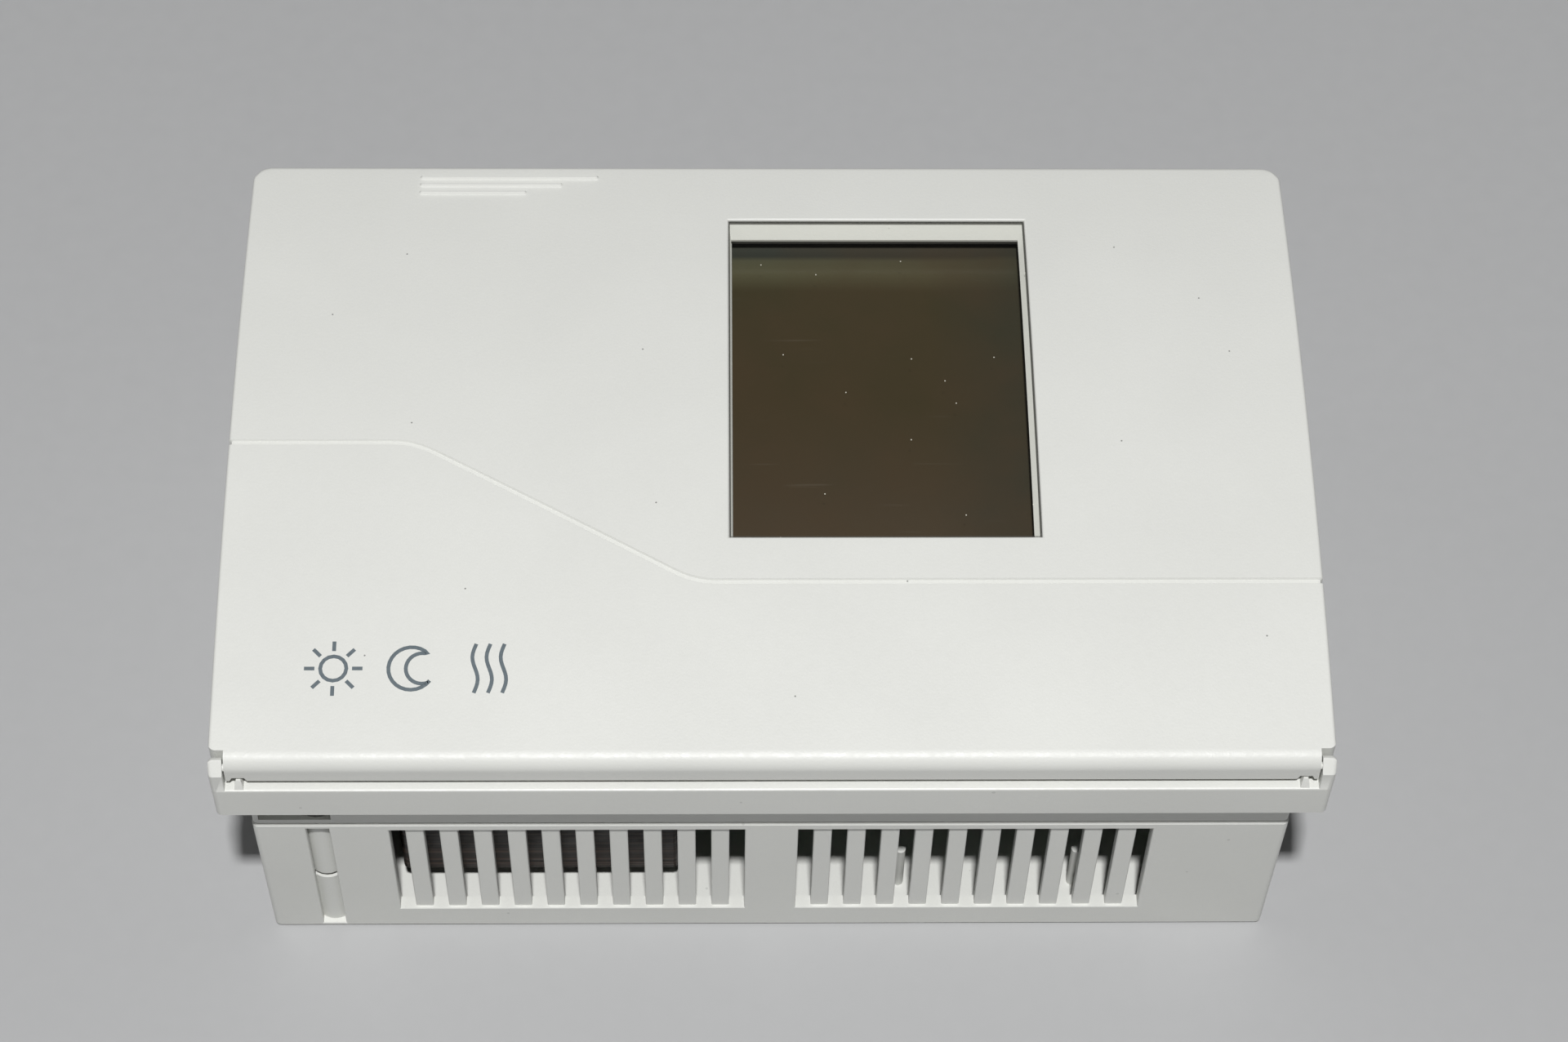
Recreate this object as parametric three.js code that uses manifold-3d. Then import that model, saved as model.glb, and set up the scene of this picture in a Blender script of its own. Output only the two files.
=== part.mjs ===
// Digital heating controller in the 144 x 96 mm panel format, lying on its back.
// Millimetres. +X runs to the right along the face, +Y up the face (away from the
// cover's hinge), +Z out of the face. The origin is the centre of the rear face.
import * as THREE from 'three';
import { mergeVertices } from 'three/addons/utils/BufferGeometryUtils.js';
import Module from 'manifold-3d';

const wasm = await Module();
wasm.setup();

// ---------------------------------------------------------------- dimensions

const FACE_WIDTH = 144;
const FACE_HEIGHT = 96;

// Rear housing: an open tub, a little smaller than the panel cut-out.
const BASE_WIDTH = 136.8;
const BASE_HEIGHT = 91;
const BASE_TOP = 29.2;
const BASE_WALL = 2;
const BASE_DRAFT = 0.2; // how much each side tapers in at the rear
const CORNER = 0.8;

// Front bezel: a flange that covers the cut-out's edge and an insert behind it.
const FLANGE_BACK = 36.5;
const DECK = 43;
const INSERT_WIDTH = 136.6;
const INSERT_HEIGHT = 90.6;
const INSERT_WALL = 1.6;
const INSERT_BACK = BASE_TOP + 0.2;
const INSIDE_X = INSERT_WIDTH / 2 - INSERT_WALL;
const INSIDE_Y = INSERT_HEIGHT / 2 - INSERT_WALL;

// Hinged front cover: a shell whose top is one large arc across the face.
const CROWN_TOP = 53.4;
const CROWN_Y = 12;
const CROWN_RADIUS = 333;
const COVER_NEAR = -47.1;
const COVER_FAR = 47.5;
const COVER_WALL = 2;
const COVER_SIDE_WALL = 1.8;
const COVER_EDGE = DECK + 0.5;
const NEAR_BOTTOM = DECK + 1;
const NEAR_FILLET = 2.2;
const FAR_FILLET = 1;

// Hinge: pins on the cover turn in blind holes in two ears of the bezel.
const HINGE_Y = -46.5;
const HINGE_Z = DECK + 3.6;
const PIN_RADIUS = 0.5;
const PIN_HOLE = 0.62;
const EAR_INNER = 70.2;
const EAR_NEAR = -47.9;
const EAR_FAR = -45.4;
const EAR_NEAR_TOP = DECK + 3.5;
const EAR_FAR_TOP = DECK + 4.95;
const EAR_CHAMFER = 0.9;
const HINGE_WIDTH = 70;
const HINGE_GAP = 0.35;

// Window in the cover, and how the pane sits in it.
const WINDOW = { x0: -5.6, x1: 35.5, y0: -15.2, y1: 37.2 };
const PANE_SINK = 0.25;
const PANE_THICK = 1.2;
const PANE_LEDGE = 0.5;

// Operating panel under the cover.
const PANEL_THICK = 1.6;
const PANEL_TOP = DECK + PANEL_THICK;
const PANEL = { x: 69.6, y0: -44.2, y1: 45.3 };

// Boards and display stack.
const BOARD_THICK = 1.6;
const LOGIC_BACK = 38.5;
const LOGIC_FRONT = LOGIC_BACK + BOARD_THICK;
const POWER_BACK = 31;
const POWER_FRONT = POWER_BACK + BOARD_THICK;
const GLASS_FRONT = 47.5;
const GLASS_THICK = 2.2;
const GLASS_BACK = GLASS_FRONT - GLASS_THICK;

// Controls on the operating panel.
const KEY_TOP = 46.2;
const KEY_BACK = 42.2;
const KEY_GAP = 0.2;
const MODE_KEY = { width: 9, height: 5 };
const VALUE_KEY = { width: 8, height: 5 };
const MODE_KEYS = [
  { name: 'key_auto', x: 0, y: -27 },
  { name: 'key_comfort', x: 12, y: -27 },
  { name: 'key_reduced', x: 24, y: -27 },
  { name: 'key_standby', x: 36, y: -27 },
];
const VALUE_KEYS = [
  { name: 'key_line_up', x: -44, y: -20.5 },
  { name: 'key_line_down', x: -44, y: -30.5 },
  { name: 'key_value_plus', x: -32, y: -20.5 },
  { name: 'key_value_minus', x: -32, y: -30.5 },
];
const KNOB = { x: -38, y: 14, radius: 13, back: PANEL_TOP + 0.3, top: 50 };
const SHAFT_RADIUS = 3;
const SLIDER = { x: 52, y: -27, travel: 4 };
const LAMPS_X = 54;
const LAMPS_Y = [30, 22, 14];
const LAMP_RADIUS = 1.5;

// Ventilation slots in the long walls.
const VENT_COUNT = 11;
const VENT_PITCH = 4.495;
const VENT_WIDTH = 2.1;
const VENT_START = 3.5;
const VENT_BACK = 5.2;
const VENT_FRONT = 27.8;
const VENT_POCKET = 0.45;

// Panel clamps: one near the lower left corner, one turned half round from it.
const CLAMP_X = -59.9;
const CLAMP_Y = -42;
const CLAMP_SLOT = { width: 3.1, back: 0.9, front: 28.3 };
const CLAMP_SLEEVE = 2.6;
const CLAMP_RELIEF = 2.9;
const CLAMP_ARM = { length: 6.4, width: 3.8, back: 30.8, front: 33.4 };
const CLAMP_CLIMB = 2.8;
const CLAMP_POST_TOP = 13;
const ARM_OPENING = { x0: -67.4, x1: -57.9 };

// Corner webs of the bezel carry the screw heads.
const WEB_BACK = 39;
const WEB_FRONT = 41;
const NOTCH_X = 54.5;
const NOTCH_Y = 37;
const UNIT_SCREW = { x: 59.9, y: -39.5 };
const UNIT_POST = { radius: 3.4, top: 27 };

// ------------------------------------------------------------------- helpers

const fineArc = 24;
const smallArc = 12;

/** A closed manifold solid from a three.js geometry. */
function solid(geometry) {
  const bare = geometry.clone();
  bare.deleteAttribute('normal');
  bare.deleteAttribute('uv');
  const merged = mergeVertices(bare, 1e-4);
  return new wasm.Manifold(new wasm.Mesh({
    numProp: 3,
    vertProperties: new Float32Array(merged.attributes.position.array),
    triVerts: new Uint32Array(merged.index.array),
  }));
}

/** A box between two corners. */
function box(x0, x1, y0, y1, z0, z1) {
  const geometry = new THREE.BoxGeometry(x1 - x0, y1 - y0, z1 - z0);
  return solid(geometry.translate((x0 + x1) / 2, (y0 + y1) / 2, (z0 + z1) / 2));
}

/** An outline in the XY plane drawn out from z0 to z1. */
function prism(shape, z0, z1, curveSegments = 1) {
  const options = { depth: z1 - z0, bevelEnabled: false, curveSegments };
  return solid(new THREE.ExtrudeGeometry(shape, options).translate(0, 0, z0));
}

/** An outline given as (y, z) drawn out along X from x0 to x1. */
function profileAlongX(shape, x0, x1, curveSegments = 8) {
  const options = { depth: x1 - x0, bevelEnabled: false, curveSegments };
  const turn = new THREE.Matrix4().set(0, 0, 1, x0, 1, 0, 0, 0, 0, 1, 0, 0, 0, 0, 0, 1);
  return solid(new THREE.ExtrudeGeometry(shape, options).applyMatrix4(turn));
}

/** A cylinder along Z. */
function post(x, y, radius, z0, z1, segments = smallArc) {
  const geometry = new THREE.CylinderGeometry(radius, radius, z1 - z0, segments);
  return solid(geometry.rotateX(Math.PI / 2).translate(x, y, (z0 + z1) / 2));
}

/** A cylinder along X. */
function rod(y, z, radius, x0, x1) {
  const geometry = new THREE.CylinderGeometry(radius, radius, x1 - x0, smallArc);
  return solid(geometry.rotateZ(Math.PI / 2).translate((x0 + x1) / 2, y, z));
}

/** A cylinder along Y. */
function bore(x, z, radius, y0, y1, segments) {
  const geometry = new THREE.CylinderGeometry(radius, radius, y1 - y0, segments);
  return solid(geometry.translate(x, (y0 + y1) / 2, z));
}

/** A rectangle with equal rounded corners, centred on (x, y). */
function roundedRectangle(width, height, radius, x = 0, y = 0) {
  const right = x + width / 2;
  const left = x - width / 2;
  const top = y + height / 2;
  const bottom = y - height / 2;
  const shape = new THREE.Shape();
  shape.moveTo(left + radius, bottom);
  shape.absarc(right - radius, bottom + radius, radius, -Math.PI / 2, 0);
  shape.absarc(right - radius, top - radius, radius, 0, Math.PI / 2);
  shape.absarc(left + radius, top - radius, radius, Math.PI / 2, Math.PI);
  shape.absarc(left + radius, bottom + radius, radius, Math.PI, 1.5 * Math.PI);
  return shape;
}

/** The same piece at the opposite corner of the face. */
const halfTurn = (piece) => piece.rotate([0, 0, 180]);

/** The same piece on the other side of the face's upright centre line. */
const mirrored = (piece) => piece.mirror([1, 0, 0]);

const union = (pieces) => wasm.Manifold.union(pieces);

/** The four corners of the face, as signs of x and y. */
const CORNERS = [[-1, -1], [1, -1], [1, 1], [-1, 1]];

// -------------------------------------------------------------- crowned layer

const CROWN_CENTRE_Z = CROWN_TOP - CROWN_RADIUS;

/** Height of the crown at y, this deep under the surface. */
function crownHeight(y, depth = 0) {
  return CROWN_CENTRE_Z + Math.sqrt((CROWN_RADIUS - depth) ** 2 - (y - CROWN_Y) ** 2);
}

/** Angle, about the crown's centre, of the crown at y. */
function crownAngle(y, depth) {
  return Math.acos((y - CROWN_Y) / (CROWN_RADIUS - depth));
}

/** A (y, z) outline of the layer between two depths under the crown. */
function crownBand(y0, y1, upperDepth, lowerDepth) {
  const shape = new THREE.Shape();
  const upper = CROWN_RADIUS - upperDepth;
  const lower = CROWN_RADIUS - lowerDepth;
  const from = (y, depth) => crownAngle(y, depth);
  shape.moveTo(y0, crownHeight(y0, lowerDepth));
  shape.absarc(CROWN_Y, CROWN_CENTRE_Z, lower, from(y0, lowerDepth), from(y1, lowerDepth), true);
  shape.lineTo(y1, crownHeight(y1, upperDepth));
  shape.absarc(CROWN_Y, CROWN_CENTRE_Z, upper, from(y1, upperDepth), from(y0, upperDepth), false);
  return shape;
}

// ----------------------------------------------------------------- the cover

/** Centre of the fillet that joins the crown to an upright face at y. */
function filletCentre(y, radius) {
  return { y, z: crownHeight(y, radius) };
}

/** Outside of the cover seen from the side, filled in down to its lower edge. */
function coverOutline() {
  const near = filletCentre(COVER_NEAR + NEAR_FILLET, NEAR_FILLET);
  const far = filletCentre(COVER_FAR - FAR_FILLET, FAR_FILLET);
  const nearAngle = crownAngle(near.y, NEAR_FILLET);
  const farAngle = crownAngle(far.y, FAR_FILLET);
  const shape = new THREE.Shape();
  shape.moveTo(COVER_NEAR, NEAR_BOTTOM);
  shape.absarc(near.y, near.z, NEAR_FILLET, Math.PI, nearAngle, true);
  shape.absarc(CROWN_Y, CROWN_CENTRE_Z, CROWN_RADIUS, nearAngle, farAngle, true);
  shape.absarc(far.y, far.z, FAR_FILLET, farAngle, 0, true);
  shape.lineTo(COVER_FAR, COVER_EDGE);
  shape.lineTo(COVER_NEAR + COVER_WALL, COVER_EDGE);
  shape.lineTo(COVER_NEAR + COVER_WALL, NEAR_BOTTOM);
  return shape;
}

/** Hollow of the cover seen from the side. */
function coverHollow() {
  const y0 = COVER_NEAR + COVER_WALL;
  const y1 = COVER_FAR - COVER_SIDE_WALL;
  const radius = CROWN_RADIUS - COVER_WALL;
  const shape = new THREE.Shape();
  shape.moveTo(y0, COVER_EDGE - 1);
  shape.lineTo(y0, crownHeight(y0, COVER_WALL));
  shape.absarc(CROWN_Y, CROWN_CENTRE_Z, radius,
    crownAngle(y0, COVER_WALL), crownAngle(y1, COVER_WALL), true);
  shape.lineTo(y1, COVER_EDGE - 1);
  return shape;
}

/** Decorative groove: across, down a slope, and across again, sunk in the crown. */
function coverGroove() {
  const width = 0.8;
  const depth = 0.3;
  const upper = { x: -47.5, y: -0.7 };
  const lower = { x: -10.2, y: -21.7 };
  const bend = 3;
  const end = FACE_WIDTH / 2 + 1;
  const slope = new THREE.Vector2(lower.x - upper.x, lower.y - upper.y).normalize();
  const line = new THREE.Path();
  line.moveTo(-end, upper.y);
  line.lineTo(upper.x - bend, upper.y);
  line.quadraticCurveTo(upper.x, upper.y, upper.x + slope.x * bend, upper.y + slope.y * bend);
  line.lineTo(lower.x - slope.x * bend, lower.y - slope.y * bend);
  line.quadraticCurveTo(lower.x, lower.y, lower.x + bend, lower.y);
  line.lineTo(end, lower.y);
  const points = line.getPoints(6);
  const rail = (side) => points.map((point, index) => {
    const before = points[Math.max(index - 1, 0)];
    const after = points[Math.min(index + 1, points.length - 1)];
    const along = after.clone().sub(before).normalize();
    return new THREE.Vector2(point.x - along.y * side, point.y + along.x * side);
  });
  const outline = new THREE.Shape([...rail(width / 2), ...rail(-width / 2).reverse()]);
  const layer = profileAlongX(crownBand(-30, 10, -1, depth), -end, end);
  const channel = prism(outline, DECK, CROWN_TOP + 2).intersect(layer);
  const sideNotch = (y, side) => {
    const face = side * FACE_WIDTH / 2;
    return box(face - depth, face + depth, y - width / 2, y + width / 2, DECK, CROWN_TOP + 2);
  };
  return union([channel, sideNotch(upper.y, -1), sideNotch(lower.y, 1)]);
}

/** Three raised finger ribs near the opening edge, each shorter than the last. */
function fingerRibs() {
  const left = -48.7;
  const width = 0.8;
  const rise = 0.35;
  const rows = [{ y: 45.1, length: 25 }, { y: 43.7, length: 20 }, { y: 42.25, length: 15 }];
  const layer = profileAlongX(crownBand(40, 46.3, -rise, 0.5), left - 5, left + 30);
  return rows.map(({ y, length }) => {
    const outline = roundedRectangle(length, width, width / 2 - 0.01, left + length / 2, y);
    return prism(outline, DECK, CROWN_TOP + 2, 2).intersect(layer);
  });
}

/** Opening for the pane, with a ledge under it. */
function windowCut() {
  const { x0, x1, y0, y1 } = WINDOW;
  const seatDepth = PANE_SINK + PANE_THICK;
  const seat = profileAlongX(crownBand(y0, y1, -1, seatDepth), x0, x1);
  const through = box(x0 + PANE_LEDGE, x1 - PANE_LEDGE, y0 + PANE_LEDGE, y1 - PANE_LEDGE,
    DECK, CROWN_TOP + 1);
  return seat.add(through);
}

/** Plan outline of the cover: rounded at the opening edge, cut back round the ears. */
function coverPlan() {
  const half = FACE_WIDTH / 2;
  const radius = 2.8;
  const small = 1;
  const cut = EAR_FAR + HINGE_GAP;
  const shape = new THREE.Shape();
  shape.moveTo(-HINGE_WIDTH, COVER_NEAR - 1);
  shape.lineTo(HINGE_WIDTH, COVER_NEAR - 1);
  shape.lineTo(HINGE_WIDTH, cut);
  shape.absarc(half - small, cut + small, small, -Math.PI / 2, 0);
  shape.absarc(half - radius, COVER_FAR - radius, radius, 0, Math.PI / 2);
  shape.absarc(-half + radius, COVER_FAR - radius, radius, Math.PI / 2, Math.PI);
  shape.absarc(-half + small, cut + small, small, Math.PI, 1.5 * Math.PI);
  shape.lineTo(-HINGE_WIDTH, cut);
  return shape;
}

function frontCover() {
  const half = FACE_WIDTH / 2;
  const inner = half - COVER_SIDE_WALL;
  const shell = profileAlongX(coverOutline(), -half, half)
    .intersect(prism(coverPlan(), DECK, CROWN_TOP + 1, 3))
    .subtract(profileAlongX(coverHollow(), -inner, inner));
  const bumpNotch = box(67.6, 69.2, COVER_NEAR - 1, -46.2, DECK, DECK + 1.9);
  const pin = rod(HINGE_Y, HINGE_Z, PIN_RADIUS, HINGE_WIDTH - 0.5, HINGE_WIDTH + 1.3);
  return shell
    .subtract(union([bumpNotch, mirrored(bumpNotch)]))
    .subtract(windowCut())
    .subtract(coverGroove())
    .add(union([pin, mirrored(pin), ...fingerRibs()]));
}

function windowPane() {
  const gap = 0.05;
  const { x0, x1, y0, y1 } = WINDOW;
  const layer = crownBand(y0 + gap, y1 - gap, PANE_SINK, PANE_SINK + PANE_THICK - gap);
  return profileAlongX(layer, x0 + gap, x1 - gap);
}

// ------------------------------------------------------------- rear housing

/** The two groups of slots and their shared shallow pockets, in the lower wall. */
function ventCuts() {
  const wall = -BASE_HEIGHT / 2;
  const span = (VENT_COUNT - 1) * VENT_PITCH + VENT_WIDTH;
  const pocket = box(VENT_START, VENT_START + span, wall - 1, wall + VENT_POCKET,
    VENT_BACK, VENT_FRONT);
  const slots = Array.from({ length: VENT_COUNT }, (_, index) => {
    const x = VENT_START + index * VENT_PITCH;
    return box(x, x + VENT_WIDTH, wall - 1, wall + BASE_WALL + 1, VENT_BACK, VENT_FRONT);
  });
  const group = union([pocket, ...slots]);
  return group.add(mirrored(group));
}

/** Upright slot in the lower wall and the round relief for the clamp's sleeve. */
function clampCuts() {
  const { width, back, front } = CLAMP_SLOT;
  const slot = box(CLAMP_X - width / 2, CLAMP_X + width / 2,
    -BASE_HEIGHT / 2 - 1, CLAMP_Y, back, front);
  const relief = post(CLAMP_X, CLAMP_Y, CLAMP_RELIEF, CLAMP_POST_TOP, BASE_TOP + 1);
  return slot.add(relief);
}

/** Footing of the clamp screw: a post with a blind bearing hole. */
function clampFooting() {
  const footing = post(CLAMP_X, CLAMP_Y, CLAMP_SLEEVE, 1, CLAMP_POST_TOP);
  return footing.subtract(post(CLAMP_X, CLAMP_Y, 1.7, 5, CLAMP_POST_TOP + 1));
}

/** Post that takes one of the screws holding the front unit to the base. */
function unitPost() {
  const { x, y } = UNIT_SCREW;
  const blank = post(x, y, UNIT_POST.radius, 1, UNIT_POST.top);
  return blank.subtract(post(x, y, 1.6, 10, UNIT_POST.top + 1));
}

function baseHousing() {
  const outline = roundedRectangle(BASE_WIDTH, BASE_HEIGHT, CORNER);
  const options = { depth: BASE_TOP, bevelEnabled: false, curveSegments: 2 };
  const block = new THREE.ExtrudeGeometry(outline, options);
  const position = block.attributes.position;
  for (let index = 0; index < position.count; index += 1) {
    if (position.getZ(index) > 0) continue;
    position.setX(index, position.getX(index) * (1 - (2 * BASE_DRAFT) / BASE_WIDTH));
    position.setY(index, position.getY(index) * (1 - (2 * BASE_DRAFT) / BASE_HEIGHT));
  }
  const insideX = BASE_WIDTH / 2 - BASE_WALL;
  const insideY = BASE_HEIGHT / 2 - BASE_WALL;
  const hollow = box(-insideX, insideX, -insideY, insideY, BASE_WALL, BASE_TOP + 1);
  const cableEntry = prism(roundedRectangle(56, 12, 2, 0, 12), -1, BASE_WALL + 1);
  const wallHoles = [-60, 60].map((x) => post(x, 0, 2.3, -1, BASE_WALL + 1));
  const guidePins = [17.9, 42].map((x) => post(x, -39.6, 0.7, 1, 11.5, 10));
  const vents = ventCuts();
  const clamps = clampCuts();
  const tub = solid(block).subtract(hollow);
  return tub
    .subtract(union([vents, halfTurn(vents), clamps, halfTurn(clamps), cableEntry, ...wallHoles]))
    .add(union([clampFooting(), halfTurn(clampFooting()), unitPost(), halfTurn(unitPost()),
      ...guidePins]));
}

// -------------------------------------------------------------- front bezel

/** Ear that carries on the cover's rounded near edge, with a blind hole for its pin. */
function hingeEar() {
  const outer = FACE_WIDTH / 2;
  const side = new THREE.Shape();
  side.moveTo(EAR_NEAR, DECK - 1.5);
  side.lineTo(EAR_FAR, DECK - 1.5);
  side.lineTo(EAR_FAR, EAR_FAR_TOP - EAR_CHAMFER * 0.83);
  side.lineTo(EAR_FAR - EAR_CHAMFER, EAR_FAR_TOP);
  side.lineTo(EAR_NEAR, EAR_NEAR_TOP);
  const plan = roundedRectangle(3, EAR_FAR - EAR_NEAR, 0.6, outer - 1.5,
    (EAR_FAR + EAR_NEAR) / 2);
  const hole = rod(HINGE_Y, HINGE_Z, PIN_HOLE, EAR_INNER - 1, EAR_INNER + 1.4);
  return profileAlongX(side, EAR_INNER, outer)
    .intersect(prism(plan, DECK - 2, EAR_FAR_TOP + 1, 2))
    .subtract(hole);
}

/** Small stop on the lip beside each ear, under a notch in the cover. */
function lipBump() {
  const outline = roundedRectangle(1.2, 2.9, 0.2, -47.15, DECK);
  return profileAlongX(outline, 67.8, 69, 1);
}

/** Web across one corner that carries a screw head. */
function cornerWeb([sideX, sideY]) {
  const blank = box(NOTCH_X + 0.5, INSIDE_X + 0.5, NOTCH_Y + 0.5, INSIDE_Y + 0.5,
    WEB_BACK, WEB_FRONT);
  return blank.scale([sideX, sideY, 1]);
}

/** Rib on a long wall that keeps the two boards apart. */
function boardSpacer(x) {
  const rib = box(x - 3, x + 3, INSIDE_Y - 2.5, INSIDE_Y + 0.5, POWER_FRONT, LOGIC_BACK);
  return rib.add(rib.mirror([0, 1, 0]));
}

/** Room in the insert for the clamp: sleeve relief, arm opening and screw way. */
function clampWay() {
  const relief = post(CLAMP_X, CLAMP_Y, CLAMP_RELIEF, INSERT_BACK - 1, FLANGE_BACK);
  const opening = box(ARM_OPENING.x0, ARM_OPENING.x1, -INSERT_HEIGHT / 2 - 1, -INSIDE_Y + 1,
    CLAMP_ARM.back - 0.3, FLANGE_BACK - 0.2);
  const shankHole = post(CLAMP_X, CLAMP_Y, 1.8, FLANGE_BACK - 1, WEB_FRONT + 1);
  const headSeat = post(CLAMP_X, CLAMP_Y, 3.1, WEB_FRONT, DECK + 1);
  return union([relief, opening, shankHole, headSeat]);
}

function frontBezel() {
  const flange = prism(roundedRectangle(FACE_WIDTH, FACE_HEIGHT, CORNER), FLANGE_BACK, DECK);
  const insertOutline = roundedRectangle(INSERT_WIDTH, INSERT_HEIGHT, CORNER);
  const insert = prism(insertOutline, INSERT_BACK, FLANGE_BACK + 1);
  const opening = box(-INSIDE_X, INSIDE_X, -INSIDE_Y, INSIDE_Y, INSERT_BACK - 1, DECK + 1);
  const ear = hingeEar();
  const bump = lipBump();
  const ways = clampWay();
  const unitHole = post(UNIT_SCREW.x, UNIT_SCREW.y, 1.9, WEB_BACK - 1, WEB_FRONT + 1);
  return flange.add(insert).subtract(opening)
    .add(union([...CORNERS.map(cornerWeb), boardSpacer(-30), boardSpacer(30)]))
    .add(union([ear, mirrored(ear), bump, mirrored(bump)]))
    .subtract(union([ways, halfTurn(ways), unitHole, halfTurn(unitHole)]));
}

// ---------------------------------------------------------- operating panel

/** Upright frame round the display, with a lip that keeps the glass in. */
function displayCollar() {
  const { x0, x1, y0, y1 } = WINDOW;
  const wall = 2.5;
  return box(x0 - wall, x1 + wall, y0 - wall, y1 + wall, DECK, 49.8);
}

/** Pocket for the glass and the smaller opening it is seen through. */
function displayOpening() {
  const { x0, x1, y0, y1 } = WINDOW;
  const margin = 1.5;
  const pocket = box(x0 - margin, x1 + margin, y0 - margin, y1 + margin, DECK - 1, GLASS_FRONT);
  const view = box(x0 + PANE_LEDGE, x1 - PANE_LEDGE, y0 + PANE_LEDGE, y1 - PANE_LEDGE,
    DECK, CROWN_TOP);
  return pocket.add(view);
}

function operatingPanel() {
  const through = (shape) => prism(shape, DECK - 1, PANEL_TOP + 1);
  const keyHole = (size) => ({ x, y }) => through(
    roundedRectangle(size.width + 2 * KEY_GAP, size.height + 2 * KEY_GAP, 0.9, x, y));
  const hole = (x, y, radius) => post(x, y, radius, DECK - 1, PANEL_TOP + 1);
  const middleY = (PANEL.y0 + PANEL.y1) / 2;
  const outline = roundedRectangle(2 * PANEL.x, PANEL.y1 - PANEL.y0, 1, 0, middleY);
  const cuts = [
    displayOpening(),
    ...MODE_KEYS.map(keyHole(MODE_KEY)),
    ...VALUE_KEYS.map(keyHole(VALUE_KEY)),
    ...LAMPS_Y.map((y) => hole(LAMPS_X, y, LAMP_RADIUS + 0.2)),
    hole(KNOB.x, KNOB.y, SHAFT_RADIUS + 0.5),
    through(roundedRectangle(8.2, 3.6, 0.5, SLIDER.x + SLIDER.travel / 2, SLIDER.y)),
    hole(CLAMP_X, CLAMP_Y, 1.6),
    hole(-CLAMP_X, -CLAMP_Y, 1.6),
    hole(UNIT_SCREW.x, UNIT_SCREW.y, 2),
    hole(-UNIT_SCREW.x, -UNIT_SCREW.y, 2),
  ];
  return prism(outline, DECK, PANEL_TOP).add(displayCollar()).subtract(union(cuts));
}

/** Push key: a cap in the panel's hole and a wider foot that keeps it in. */
function pushKey({ width, height }) {
  return ({ x, y }) => {
    const cap = prism(roundedRectangle(width, height, 0.8, x, y), KEY_BACK, KEY_TOP);
    const foot = roundedRectangle(width + 1.4, height + 1.4, 0.8, x, y);
    return cap.add(prism(foot, KEY_BACK, DECK - 0.1));
  };
}

/** Silicone sheet on the board with a raised dome under each key. */
function keypadMat() {
  const sheet = prism(roundedRectangle(98, 18, 1, -4, -25.6), LOGIC_FRONT, LOGIC_FRONT + 0.6);
  const domes = [...MODE_KEYS, ...VALUE_KEYS].map(({ x, y }) => (
    post(x, y, 2.2, LOGIC_FRONT, KEY_BACK - 0.9)));
  return sheet.add(union(domes));
}

/** Setpoint knob with a raised pointer and a blind bore for its shaft. */
function setpointKnob() {
  const { x, y, radius, back, top } = KNOB;
  const skirt = post(x, y, radius, back, back + 1.6, 36);
  const grip = post(x, y, radius - 2.2, back, top - 0.5, 36);
  const pointer = box(x - 0.7, x + 0.7, y, y + radius - 2.6, top - 1, top);
  const shaftBore = post(x, y, SHAFT_RADIUS + 0.05, back - 1, top - 1.5);
  return union([skirt, grip, pointer]).subtract(shaftBore);
}

function potentiometer() {
  const { x, y } = KNOB;
  const can = box(x - 5.5, x + 5.5, y - 5.5, y + 5.5, LOGIC_FRONT, 42.7);
  return can.subtract(post(x, y, SHAFT_RADIUS + 0.2, LOGIC_FRONT + 0.8, 43));
}

function potentiometerShaft() {
  return post(KNOB.x, KNOB.y, SHAFT_RADIUS, LOGIC_FRONT + 0.9, KNOB.top - 1.6);
}

function slideSwitchBody() {
  const { x, y, travel } = SLIDER;
  const middle = x + travel / 2;
  const body = box(middle - 5, middle + 5, y - 2, y + 2, LOGIC_FRONT, 42.7);
  return body.subtract(box(middle - 4, middle + 4, y - 1, y + 1, 41.3, 43));
}

function slideSwitchKnob() {
  const { x, y } = SLIDER;
  const grip = prism(roundedRectangle(3.4, 3, 0.4, x, y), 42.9, 46.1);
  return grip.add(box(x - 1.2, x + 1.2, y - 0.8, y + 0.8, 41.5, 43.5));
}

/** Signal lamp: a flanged body on the board with a domed lens through the panel. */
function signalLamp(y) {
  const foot = post(LAMPS_X, y, LAMP_RADIUS + 0.4, LOGIC_FRONT, LOGIC_FRONT + 1);
  const stem = post(LAMPS_X, y, LAMP_RADIUS, LOGIC_FRONT, PANEL_TOP);
  const lens = solid(new THREE.SphereGeometry(LAMP_RADIUS, smallArc, 8)
    .rotateX(Math.PI / 2).translate(LAMPS_X, y, PANEL_TOP));
  return union([foot, stem, lens]);
}

// ------------------------------------------------------------ display stack

function displayGlass() {
  const { x0, x1, y0, y1 } = WINDOW;
  const margin = 1.2;
  return box(x0 - margin, x1 + margin, y0 - margin, y1 + margin, GLASS_BACK, GLASS_FRONT);
}

function lightGuide() {
  const { x0, x1, y0, y1 } = WINDOW;
  return box(x0 + 1, x1 - 1, y0 + 2, y1 - 2, LOGIC_FRONT, GLASS_BACK - 0.3);
}

/** Rubber contact strip between the board and the edge of the glass. */
function contactStrip(y) {
  return box(WINDOW.x0 + 1, WINDOW.x1 - 1, y - 1, y + 1, LOGIC_FRONT, GLASS_BACK);
}

// -------------------------------------------------------------------- boards

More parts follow.
